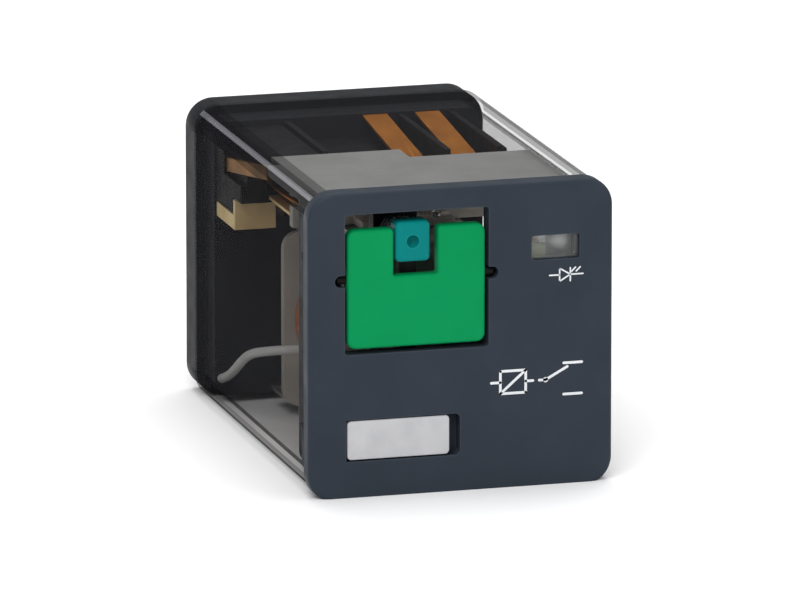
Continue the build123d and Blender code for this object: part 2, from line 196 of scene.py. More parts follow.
def finish_tree(tree: bpy.types.NodeTree, settings: dict, links: dict) -> bpy.types.Node:
    """Close a tree with a Principled shader on its output.

    Args:
        tree: the node tree.
        settings: constant sockets of the shader.
        links: linked sockets of the shader.

    Returns:
        The Principled node.
    """
    shader = add_node(tree, "BsdfPrincipled", settings, links)
    add_node(tree, "OutputMaterial", links={"Surface": shader.outputs[0]})
    return shader


# ---------------------------------------------------------------- finishes
@dataclass(frozen=True)
class MouldedPlastic:
    """Injection moulded plastic: a spark-eroded grain, faint clouding, burnished edges.

    The eye reads the fine grain as a soft sheen. The edges are tinted lighter, partly as wear
    where the part has been handled and partly as a painted highlight where a rounded edge catches
    the light. The grain is drawn coarser than a real one of about 0.05 mm, so that it shows. Under
    shade_height_mm the piece is tinted with the dark colour shade_below, a painted shade for a
    part that sits in the shadowed foot of the relay.
    """

    name: str
    colour: str
    cloud: str
    edge: str
    roughness: float = 0.5
    grain_mm: float = 0.22
    grain_height_mm: float = 0.004
    shine: float = 0.08
    edge_mm: float = 0.25
    cloud_mm: float = 6.0
    gloss_mm: float = 2.5
    shade_height_mm: float | None = None
    shade_blur_mm: float = 0.1
    shade_below: str = "#1c1c20"

    def build(self) -> bpy.types.Material:
        """Return the node material."""
        material, tree = new_material(self.name)
        clouds = ranged(tree, object_noise(tree, self.cloud_mm, 3.0), 0.0, 1.0)
        body = blended(tree, clouds, self.colour, self.cloud)
        # Painted shade: under this height the colour is blended into a dark tint that stands in
        # for the shadow at the relay's foot.
        if self.shade_height_mm is not None:
            place = add_node(tree, "TexCoord").outputs["Object"]
            height = add_node(tree, "SeparateXYZ", links={0: place}).outputs["Z"]
            low = ranged(tree, height, 1.0, 0.0, self.shade_height_mm * MM,
                         (self.shade_height_mm + self.shade_blur_mm) * MM)
            two = add_node(tree, "Mix", {"data_type": "RGBA"}, {"Factor": low, 6: body})
            two.inputs[7].default_value = linear(self.shade_below)
            body = two.outputs[2]
        geometry = add_node(tree, "NewGeometry").outputs["Normal"]
        round_off = add_node(tree, "Bevel", {"samples": 4, "Radius": self.edge_mm * MM})
        turned = add_node(tree, "VectorMath", {"operation": "DOT_PRODUCT"},
                          {0: geometry, 1: round_off.outputs[0]}).outputs["Value"]
        # Flat faces give a product of one, and a square edge about 0.7, so a square edge gets the
        # most of the lighter edge colour: partly wear, partly painted highlight.
        worn_and_lit_edge = ranged(tree, turned, 0.75, 0.0, 0.80, 0.985)
        mix = add_node(tree, "Mix", {"data_type": "RGBA"}, {"Factor": worn_and_lit_edge, 6: body})
        mix.inputs[7].default_value = linear(self.edge)
        grain = object_noise(tree, self.grain_mm, 3.0)
        bump = add_node(tree, "Bump", {"Strength": 0.6, "Distance": self.grain_height_mm * MM},
                        {"Height": grain})
        gloss = ranged(tree, object_noise(tree, self.gloss_mm, 4.0), self.roughness - 0.05,
                       self.roughness + 0.07)
        finish_tree(tree, {"IOR": 1.53, "Specular IOR Level": self.shine},
                    {"Base Color": mix.outputs[2], "Roughness": gloss, "Normal": bump.outputs[0]})
        return material


@dataclass(frozen=True)
class ClearPlastic:
    """Polycarbonate, clear or smoked, moulded in a polished tool.

    A thin flat wall hardly bends what is behind it, so most of it goes straight through;
    body is the share that answers to light, as a faint smoke. shine is the strength of its
    mirror sheen, which the scuffed flat walls have none of. bend is how much of the share
    refracts. Lamps are let through, tinted, so that the inside is lit.
    """

    name: str
    tint: str
    body: float
    bend: float = 0.0
    roughness: float = 0.04
    shine: float = 0.5
    ior: float = 1.585
    haze_mm: float = 1.6

    def build(self) -> bpy.types.Material:
        """Return the node material."""
        material, tree = new_material(self.name)
        haze = ranged(tree, object_noise(tree, self.haze_mm, 4.0), self.roughness * 0.5,
                      self.roughness * 1.8)
        colour = linear(self.tint)
        clear = add_node(tree, "BsdfPrincipled",
                         {"Base Color": colour, "IOR": self.ior,
                          "Specular IOR Level": self.shine, "Alpha": self.body,
                          "Transmission Weight": self.bend}, {"Roughness": haze})
        passed = [1 - 0.5 * self.body * (1 - c) for c in colour[:3]] + [1.0]
        lamp = add_node(tree, "BsdfTransparent", {"Color": passed})
        shadow = add_node(tree, "LightPath").outputs["Is Shadow Ray"]
        mix = add_node(tree, "MixShader", links={0: shadow, 1: clear.outputs[0],
                                                 2: lamp.outputs[0]})
        add_node(tree, "OutputMaterial", links={"Surface": mix.outputs[0]})
        return material


@dataclass(frozen=True)
class RolledMetal:
    """Rolled and stamped strip or sheet: fine streaks along the rolling direction.

    The streaks stretch highlights across the grain, and light tarnish clouds the colour.
    They are drawn wider than real roll marks of a few hundredths of a millimetre, so that
    they show. streak is how much longer a mark is along each axis.
    """

    name: str
    colour: str
    tarnish: str
    roughness: float = 0.3
    streak: tuple[float, float, float] = (1.0, 18.0, 1.0)
    streak_mm: float = 0.16
    stain_mm: float = 4.0

    def build(self) -> bpy.types.Material:
        """Return the node material."""
        material, tree = new_material(self.name)
        stain = ranged(tree, object_noise(tree, self.stain_mm, 4.0), 0.0, 1.0)
        colour = blended(tree, stain, self.colour, self.tarnish)
        lines = object_noise(tree, self.streak_mm, 2.0, self.streak)
        bump = add_node(tree, "Bump", {"Strength": 0.5, "Distance": 0.004 * MM},
                        {"Height": lines})
        gloss = ranged(tree, lines, self.roughness - 0.06, self.roughness + 0.12)
        finish_tree(tree, {"Metallic": 1.0},
                    {"Base Color": colour, "Roughness": gloss, "Normal": bump.outputs[0]})
        return material


@dataclass(frozen=True)
class PlatedMetal:
    """Bright electroplate: almost a mirror, with soft clouds and tiny pits.

    The pits are drawn coarser than real ones, so that they show.
    """

    name: str
    colour: str
    dull: str
    roughness: float = 0.16
    cloud_mm: float = 1.8
    pit_mm: float = 0.12

    def build(self) -> bpy.types.Material:
        """Return the node material."""
        material, tree = new_material(self.name)
        cloud = ranged(tree, object_noise(tree, self.cloud_mm, 4.0), 0.0, 1.0)
        colour = blended(tree, cloud, self.colour, self.dull)
        pits = object_noise(tree, self.pit_mm, 2.0)
        bump = add_node(tree, "Bump", {"Strength": 0.35, "Distance": 0.003 * MM},
                        {"Height": pits})
        gloss = ranged(tree, cloud, self.roughness, self.roughness + 0.16, 0.0, 1.0)
        finish_tree(tree, {"Metallic": 1.0},
                    {"Base Color": colour, "Roughness": gloss, "Normal": bump.outputs[0]})
        return material


@dataclass(frozen=True)
class EnamelledCopper:
    """Copper magnet wire under clear enamel: a warm metal with a glossy coat."""

    name: str
    bright: str = "#c0703a"
    deep: str = "#7c3f1e"
    layer_mm: float = 0.9
    gloss_mm: float = 0.5

    def build(self) -> bpy.types.Material:
        """Return the node material."""
        material, tree = new_material(self.name)
        layer = ranged(tree, object_noise(tree, self.layer_mm, 3.0, (1.0, 0.3, 1.0)), 0.0, 1.0)
        colour = blended(tree, layer, self.bright, self.deep)
        gloss = ranged(tree, object_noise(tree, self.gloss_mm, 2.0), 0.28, 0.42)
        finish_tree(tree, {"Metallic": 0.85, "Coat Weight": 0.6, "Coat Roughness": 0.12},
                    {"Base Color": colour, "Roughness": gloss})
        return material


@dataclass(frozen=True)
class GlossyFilm:
    """Thin glossy skin, as on tape, insulation, epoxy or lacquer."""

    name: str
    colour: str
    shade: str
    roughness: float = 0.25
    wrinkle_mm: float = 1.2
    see_through: float = 0.0
    shade_mm: float = 3.0

    def build(self) -> bpy.types.Material:
        """Return the node material."""
        material, tree = new_material(self.name)
        shade = ranged(tree, object_noise(tree, self.shade_mm, 3.0), 0.0, 1.0)
        colour = blended(tree, shade, self.colour, self.shade)
        wrinkle = object_noise(tree, self.wrinkle_mm, 3.0, (1.0, 3.0, 1.0))
        bump = add_node(tree, "Bump", {"Strength": 0.4, "Distance": 0.02 * MM},
                        {"Height": wrinkle})
        gloss = ranged(tree, wrinkle, self.roughness - 0.05, self.roughness + 0.1)
        finish_tree(tree, {"IOR": 1.5, "Transmission Weight": self.see_through},
                    {"Base Color": colour, "Roughness": gloss, "Normal": bump.outputs[0]})
        return material


@dataclass(frozen=True)
class PrintedCard:
    """Matt writable plastic card: a paper-like tooth that takes a pen."""

    name: str
    colour: str
    shade: str
    shade_mm: float = 2.4
    tooth_mm: float = 0.1

    def build(self) -> bpy.types.Material:
        """Return the node material."""
        material, tree = new_material(self.name)
        shade = ranged(tree, object_noise(tree, self.shade_mm, 5.0), 0.0, 1.0)
        colour = blended(tree, shade, self.colour, self.shade)
        tooth = object_noise(tree, self.tooth_mm, 3.0)
        bump = add_node(tree, "Bump", {"Strength": 0.5, "Distance": 0.005 * MM},
                        {"Height": tooth})
        finish_tree(tree, {"IOR": 1.5, "Roughness": 0.62},
                    {"Base Color": colour, "Normal": bump.outputs[0]})
        return material


class Finish(Enum):
    """The finishes of the relay, one for each kind of surface."""

    FRONT_PBT = MouldedPlastic("slate_pbt_moulded", "#303740", "#2d333c", "#434b55", 0.46)
    BASE_PBT = MouldedPlastic("black_pbt_moulded", "#242528", "#28292c", "#3c3e42", 0.42, 0.22,
                              0.001, 0.03)
    INSIDE_PBT = MouldedPlastic("black_pbt_inner", "#151516", "#1a1a1b", "#2a2a2b", 0.5, 0.3,
                                0.0002)
    DOOR_POM = MouldedPlastic("green_acetal_moulded", "#048b50", "#04864d", "#28a070", 0.4,
                              0.18, 0.002, 0.05)
    BUTTON_POM = MouldedPlastic("teal_acetal_moulded", "#047a78", "#047371", "#319895", 0.36,
                                0.18, 0.002, 0.05)
    # The carrier's ring below 14.25 mm is darkened as painted shade.
    CARRIER_PC = MouldedPlastic("grey_polycarbonate_moulded", "#a6a6a4", "#9a9a98", "#bcbcba",
                                0.4, shade_height_mm=14.25)
    BOBBIN_PA = MouldedPlastic("smoky_nylon_moulded", "#b0aca4", "#a29e96", "#c0bcb4", 0.45)
    FLAG_PC = MouldedPlastic("olive_grey_polycarbonate", "#a4a88c", "#9a9e84", "#b0b49c", 0.45)
    COVER_PC = ClearPlastic("smoked_polycarbonate_wall", "#323234", 0.21, shine=0.0)
    # Pale tint for the corners' middle faces: a painted highlight line.
    COVER_HIGHLIGHT_PC = ClearPlastic("smoked_polycarbonate_painted_highlight", "#94949a", 0.34, shine=0.1)
    # Dark tint for the rest of the corners: painted shade for the longer path through the smoke.
    COVER_SHADE_PC = ClearPlastic("smoked_polycarbonate_painted_shade", "#1e1e20", 0.58, shine=0.0)
    LENS_PC = ClearPlastic("clear_polycarbonate", "#f0f3f2", 0.3, 0.8, 0.02)
    IRON = RolledMetal("zinc_plated_iron", "#b9b9b4", "#9c9d9a", 0.34)
    BRONZE = RolledMetal("phosphor_bronze_strip", "#e89628", "#c87c1c", 0.38)
    BRASS = RolledMetal("brass_strip", "#fbe6b8", "#e4cc98", 0.6)
    DULL_BRASS = RolledMetal("tarnished_brass_strip", "#b47c2a", "#7c5412", 0.4)
    SILVER = PlatedMetal("silver_contact_alloy", "#e4e2dc", "#c9c7c2", 0.22)
    NICKEL = PlatedMetal("bright_nickel_plate", "#cdcac2", "#b4b0a8", 0.14)
    TINNED = PlatedMetal("tinned_brass", "#c4c2ba", "#a9a79f", 0.3)
    SPRING = PlatedMetal("drawn_spring_steel", "#a9abad", "#8e9092", 0.2)
    COPPER = EnamelledCopper("enamelled_copper_wire")
    TAPE = GlossyFilm("amber_polyester_tape", "#b8782a", "#a0661f", 0.22)
    PVC = GlossyFilm("light_pvc_insulation", "#b4b4b1", "#a6a6a3", 0.4, 2.0)
    MASK = GlossyFilm("white_solder_mask", "#eceeee", "#e4e6e6", 0.35, 0.8)
    EPOXY = GlossyFilm("milky_led_epoxy", "#fafbf8", "#f2f4f0", 0.2, 2.0, 0.1)
    LACQUER = GlossyFilm("beige_resistor_lacquer", "#cdb88c", "#bfa979", 0.3)
    GLASSY_BLACK = GlossyFilm("black_moulding_compound", "#1c1c1e", "#242426", 0.35)
    BAND_RED = GlossyFilm("red_band_lacquer", "#a3261d", "#96221a", 0.3)
    BAND_GREY = GlossyFilm("grey_band_lacquer", "#c9cacc", "#bdbec0", 0.3)
    CARD = PrintedCard("white_legend_card", "#bcbcbe", "#b1b1b4")
    INK = PrintedCard("white_pad_print_ink", "#dfe1e4", "#d3d6da")

    def material(self) -> bpy.types.Material:
        """Return this finish's material, built on first use."""
        found = bpy.data.materials.get(self.value.name)
        return found or self.value.build()


# ---------------------------------------------------------------- surfaces from formulas
def corner_outline(corners: Array, radii: Array, steps: int = 6) -> tuple[Array, Array]:
    """Outline of a polygon with every corner turned into an arc.

    Each arc's centre lies at the corner's tangent point, moved by the radius along the
    edge's inner normal; the arc then sweeps from one edge's outer normal to the next.

    Args:
        corners: K corners, anticlockwise, as K by 2.
        radii: K radii.
        steps: segments in each arc.

    Returns:
        Points and outward normals, each K times (steps + 1) by 2.
    """
    before = corners - np.roll(corners, 1, axis=0)
    after = np.roll(corners, -1, axis=0) - corners
    before /= np.linalg.norm(before, axis=1, keepdims=True)
    after /= np.linalg.norm(after, axis=1, keepdims=True)
    out_before = np.stack([before[:, 1], -before[:, 0]], axis=1)
    turn = np.arctan2(before[:, 0] * after[:, 1] - before[:, 1] * after[:, 0],
                      (before * after).sum(axis=1))
    side = np.sign(turn)
    tangent = corners - before * (radii * np.tan(np.abs(turn) / 2))[:, None]
    centre = tangent - out_before * (radii * side)[:, None]
    start = np.arctan2(out_before[:, 1], out_before[:, 0])
    angle = start[:, None] + turn[:, None] * np.linspace(0, 1, steps + 1)[None, :]
    normal = np.stack([np.cos(angle), np.sin(angle)], axis=2)
    points = centre[:, None, :] + normal * (radii * side)[:, None, None]
    return points.reshape(-1, 2), normal.reshape(-1, 2)


def rectangle(x: tuple[float, float], z: tuple[float, float]) -> Array:
    """Return the four corners of a rectangle, anticlockwise."""
    return np.array([(x[0], z[0]), (x[1], z[0]), (x[1], z[1]), (x[0], z[1])])


def edge_profile(front: float, back: float, radius: float, steps: int = 5,
                 back_radius: float = 0.0) -> Array:
    """Side view of a slab whose front edge is a quarter round.

    Args:
        front: y of the front face.
        back: y of the back face.
        radius: radius of the front edge.
        steps: segments of each quarter round.
        back_radius: radius of the back edge, zero for a sharp one.

    Returns:
        Rows of inset and y, front to back.
    """
    angle = np.linspace(0, math.pi / 2, steps + 1)
    quarter = np.stack([radius * (1 - np.sin(angle)), front + radius * (1 - np.cos(angle))], 1)
    if back_radius <= 0:
        return np.vstack([quarter, [[0.0, back]]])
    tail = np.stack([back_radius * (1 - np.cos(angle)),
                     back - back_radius * (1 - np.sin(angle))], 1)
    return np.vstack([quarter, tail])


def grid_faces(rows: int, columns: int, wrap: bool = True) -> list:
    """Quads of a grid of rows by columns vertices.

    Args:
        rows: number of rings.
        columns: vertices in each ring.
        wrap: join the last column to the first.

    Returns:
        Lists of four vertex numbers.
    """
    ring = np.arange(columns if wrap else columns - 1)
    row = np.arange(rows - 1)[:, None] * columns
    nxt = (ring + 1) % columns
    quads = np.stack([row + ring, row + nxt, row + columns + nxt, row + columns + ring], axis=2)
    return quads.reshape(-1, 4).tolist()


def capped_faces(rows: int, columns: int) -> list:
    """Quads of a run of rings, and one flat face over each of its ends.

    Args:
        rows: number of rings.
        columns: vertices in each ring.

    Returns:
        Lists of vertex numbers.
    """
    total = rows * columns
    return grid_faces(rows, columns) + [list(range(columns)),
                                        list(range(total - columns, total))]


def lofted(outline: tuple[Array, Array], profile: Array) -> Part:
    """Solid whose section is an outline that is inset along Y as a profile says.

    A point is the outline's point less its normal times the inset, at the profile's y.

    Args:
        outline: points and outward normals in X and Z.
        profile: rows of inset and y.

    Returns:
        Vertices and faces, closed by a flat face at each end.
    """
    points, normals = outline
    flat = points[None] - normals[None] * profile[:, 0][:, None, None]
    depth = np.broadcast_to(profile[:, 1][:, None], flat.shape[:2])
    rings = np.stack([flat[..., 0], depth, flat[..., 1]], axis=2)
    return rings.reshape(-1, 3), capped_faces(len(profile), len(points))


def turned_solid(profile: Array, centre: Array, axis: str = "Y", sides: int = 48) -> Part:
    """Solid of revolution: the profile's radius swept round an axis.

    Args:
        profile: rows of radius and distance along the axis.
        centre: point that the axis passes through.
        axis: X, Y or Z.
        sides: segments round the axis.

    Returns:
        Vertices and faces.
    """
    angle = np.arange(sides) / sides * 2 * math.pi
    around = np.stack([np.cos(angle), np.sin(angle)], axis=1)
    radial = profile[:, 0][:, None, None] * around[None]
    along = np.broadcast_to(profile[:, 1][:, None], radial.shape[:2])
    order = {"X": (along, radial[..., 0], radial[..., 1]),
             "Y": (radial[..., 0], along, radial[..., 1]),
             "Z": (radial[..., 0], radial[..., 1], along)}[axis]
    rings = np.stack(order, axis=2) + centre
    return rings.reshape(-1, 3), capped_faces(len(profile), sides)


def rounded_rod(radius: float, start: float, stop: float, edge: float, steps: int = 4) -> Array:
    """Profile of a rod with both ends rounded off.

    Args:
        radius: the rod's radius.
        start: lower end along the axis.
        stop: upper end along the axis.
        edge: radius of the rounding.
        steps: segments of each rounding.

    Returns:
        Rows of radius and distance along the axis.
    """
    angle = np.linspace(0, math.pi / 2, steps + 1)
    low = np.stack([radius - edge + edge * np.sin(angle), start + edge * (1 - np.cos(angle))], 1)
    high = np.stack([radius - edge + edge * np.cos(angle), stop - edge * (1 - np.sin(angle))], 1)
    return np.vstack([low, high])


def tube(path: Array, radius: float, sides: int = 12) -> Part:
    """Round tube along a path.

    The path's tangent and a fixed side direction give two cross directions at each point,
    and the ring's point is the path's point plus radius times cosine and sine along them.

    Args:
        path: points of the centreline, N by 3.
        radius: radius of the tube.
        sides: segments round it.

    Returns:
        Vertices and faces, closed by flat ends.
    """
    along = np.gradient(path, axis=0)
    along /= np.linalg.norm(along, axis=1, keepdims=True)
    helper = np.eye(3)[int(np.argmin(np.abs(along).max(axis=0)))]
    side = np.cross(along, helper)
    side /= np.linalg.norm(side, axis=1, keepdims=True)
    other = np.cross(along, side)
    angle = np.arange(sides) / sides * 2 * math.pi
    ring = (np.cos(angle)[None, :, None] * side[:, None] +
            np.sin(angle)[None, :, None] * other[:, None]) * radius
    rings = path[:, None, :] + ring
    return rings.reshape(-1, 3), capped_faces(len(path), sides)


def smooth_path(points: Array, count: int = 120) -> Array:
    """Uniform cubic B-spline through the neighbourhood of its points.

    The ends are repeated, so that the line starts and stops there.

    Args:
        points: control points, N by 3.
        count: points on the result.

    Returns:
        The line, count by 3.
    """
    padded = np.vstack([points[:1], points[:1], points, points[-1:], points[-1:]])
    where = np.linspace(0, len(padded) - 3 - 1e-6, count)
    index = where.astype(int)
    t = (where - index)[:, None]
    weights = [(1 - t) ** 3, 3 * t ** 3 - 6 * t ** 2 + 4,
               -3 * t ** 3 + 3 * t ** 2 + 3 * t + 1, t ** 3]
    return sum(w * padded[index + k] for k, w in enumerate(weights)) / 6


def coil_path(centre: Array, radius: float, start: float, stop: float, turns: float,
              wire: float) -> Array:
    """Centreline of a compression spring along Y with closed ends.

    The height is nearly level over the first and last eighth of the wire, where the turns
    lie closed, and rises evenly between them.

    Args:
        centre: a point on the axis.
        radius: radius of the centreline.
        start: y of the first end.
        stop: y of the second end.
        turns: number of turns.
        wire: wire diameter.

    Returns:
        Points of the centreline.
    """
    level, points_per_turn, drift = 0.12, 40, 0.1
    share = np.linspace(0, 1, int(turns * points_per_turn))
    rise = np.clip((share - level) / (1 - 2 * level), 0, 1)
    low, high = start + wire / 2, stop - wire / 2
    from_end = np.where(share < level, share, np.where(share > 1 - level, share - 1, 0))
    height = low + (high - low) * rise + drift * wire * turns * from_end
    angle = share * turns * 2 * math.pi
    return np.stack([centre[0] + radius * np.cos(angle), np.clip(height, low, high),
                     centre[2] + radius * np.sin(angle)], axis=1)


# ---------------------------------------------------------------- meshes and pieces
def make_piece(name: str, parts: list[Part], finish: Finish, body: str,
               replaces: tuple[str, ...] = (), sharp_deg: float = 35.0) -> bpy.types.Object:
    """Put surfaces into one object and hang it on its body.

    Args:
        name: the piece's name.
        parts: vertices and faces of each closed surface.
        finish: its finish.
        body: the body that it rides on.
        replaces: nodes that it stands for.
        sharp_deg: edges that bend more than this stay sharp.

    Returns:
        The new object.
    """
    firsts = np.cumsum([0] + [len(v) for v, _ in parts])
    vertices = np.vstack([v for v, _ in parts])
    faces = [[i + first for i in f] for first, (_, fs) in zip(firsts, parts) for f in fs]
    mesh = bpy.data.meshes.new(name)
    mesh.from_pydata(vertices.tolist(), [], faces)
    return hang_piece(name, mesh, finish, body, replaces, sharp_deg)


def hang_piece(name: str, mesh: bpy.types.Mesh, finish: Finish, body: str,
               replaces: tuple[str, ...] = (), sharp_deg: float = 35.0) -> bpy.types.Object:
    """Finish a mesh and hang it on its body.

    Args:
        name: the piece's name.
        mesh: its mesh.
        finish: its finish.
        body: the body that it rides on.
        replaces: nodes that it stands for.
        sharp_deg: edges that bend more than this stay sharp.

    Returns:
        The new object.
    """
    work = bmesh.new()
    work.from_mesh(mesh)
    bmesh.ops.remove_doubles(work, verts=work.verts, dist=1e-7)
    bmesh.ops.recalc_face_normals(work, faces=work.faces)
    work.to_mesh(mesh)
    work.free()
    mesh.shade_smooth()
    mesh.set_sharp_from_angle(angle=math.radians(sharp_deg))
    mesh.materials.append(finish.material())
    piece = bpy.data.objects.new(name, mesh)
    bpy.context.scene.collection.objects.link(piece)
    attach(piece, body)
    if replaces:
        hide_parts(*replaces)
    LOG.info("piece %s: %d faces on %s", name, len(mesh.polygons), body)
    return piece


def soften(piece: bpy.types.Object, width_mm: float, segments: int,
           angle_deg: float) -> bpy.types.Modifier:
    """Round a piece's sharp edges with a live modifier.

    Args:
        piece: the object.
        width_mm: width of the rounding.
        segments: segments of the rounding.
        angle_deg: edges that bend more than this are rounded.

    Returns:
        The modifier.
    """
    bevel = piece.modifiers.new("bevel", "BEVEL")
    bevel.width = width_mm * MM
    bevel.segments = segments
    bevel.limit_method = "ANGLE"
    bevel.angle_limit = math.radians(angle_deg)
    return bevel


def box_of(node: str) -> tuple[Array, Array]:
    """Return a node's lowest and highest corner as arrays."""
    low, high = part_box(node)
    return np.array(low), np.array(high)


# ---------------------------------------------------------------- sub-assemblies
@dataclass
class Group:
    """A sub-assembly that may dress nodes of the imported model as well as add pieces."""

    frame: dict

    def dress(self, node: str, finish: Finish, width_mm: float) -> None:
        """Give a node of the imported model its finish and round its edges.

        Args:
            node: the node's name.
            finish: its finish.
            width_mm: width of the rounding.
        """
        piece = self.frame["nodes"][node]
        piece.data.materials.clear()
        piece.data.materials.append(finish.material())
        weld = piece.modifiers.new("weld", "WELD")
        weld.merge_threshold = 1e-6
        bevel = soften(piece, width_mm, 2, 38)
        bevel.harden_normals = True
        bevel.miter_outer = "MITER_ARC"
        LOG.info("node %s: %s", node, finish.value.name)


@dataclass
class BaseAndPins(Group):
    """Moulded base and carrier, eleven plated plug pins and raised pin numbers."""

    pin_count: int = 11
    pin_radius: float = 1.18 * MM
    tip_hole: float = 0.45 * MM
    digit_height: float = 1.9 * MM
    digit_ring: float = 12.45 * MM
    digit_stand: float = 0.08 * MM

    def pin_profile(self, root: float, low: float, high: float) -> Array:
        """Side view of a pin: thick root, shaft, domed tip with a closed crimp.

        Args:
            root: root radius.
            low: y of the root's end.
            high: y of the tip.

        Returns:
            Rows of radius and y.
        """
        radius = self.pin_radius
        angle = np.linspace(0, math.pi / 2, 9)
        dome = 0.8 * radius
        tip = np.stack([radius - dome + dome * np.cos(angle),
                        high - dome + dome * np.sin(angle)], 1)
        tip = tip[tip[:, 0] > self.tip_hole]
        crimp = np.array([[self.tip_hole, high], [self.tip_hole * 0.8, high - 0.25 * MM]])
        foot = np.array([[root, low], [root, 0.0]])
        shaft = np.array([[radius, y * MM] for y in (0.0, 0.3, 1.0, 1.4)])
        return np.vstack([foot, shaft, tip, crimp])

    def make_pins(self) -> None:
        """Build the plug pins."""
        for number in range(1, self.pin_count + 1):
            node = f"plug_pin_{number}"
            low, high = box_of(node)
            centre = (low + high) / 2 * np.array([1, 0, 1])
            root = (high[0] - low[0]) / 2
            pin = turned_solid(self.pin_profile(root, low[1], high[1]), centre, "Y", 40)
            make_piece(f"pin_{number}", [pin], Finish.NICKEL, "housing", (node,))

    def make_digits(self) -> None:
        """Build the raised pin numbers round the seating face."""
        stand = Matrix(((-1, 0, 0), (0, 0, 1), (0, 1, 0))).to_4x4()
        for number in range(1, self.pin_count + 1):
            low, high = box_of(f"plug_pin_{number}")
            x, z = (low[0] + high[0]) / 2, (low[2] + high[2]) / 2
            stretch = self.digit_ring / math.hypot(x, z)
            curve = bpy.data.curves.new(f"number_{number}", "FONT")
            curve.body = str(number)
            curve.size = self.digit_height
            curve.align_x = "CENTER"
            curve.align_y = "CENTER"
            curve.extrude = self.digit_stand
            curve.resolution_u = 4
            holder = bpy.data.objects.new(f"number_{number}_text", curve)
            bpy.context.scene.collection.objects.link(holder)
            bpy.context.view_layer.update()
            mesh = bpy.data.meshes.new_from_object(holder)
            bpy.data.objects.remove(holder)
            mesh.transform(Matrix.Translation((x * stretch, 0.03 * MM, z * stretch)) @ stand)
            mesh.materials.clear()
            hang_piece(f"pin_number_{number}", mesh, Finish.BASE_PBT, "housing")

    def build(self) -> None:
        """Build and dress the base group."""
        self.dress("carrier", Finish.CARRIER_PC, 0.15)
        self.dress("base", Finish.BASE_PBT, 0.18)
        self.make_pins()
        self.make_digits()


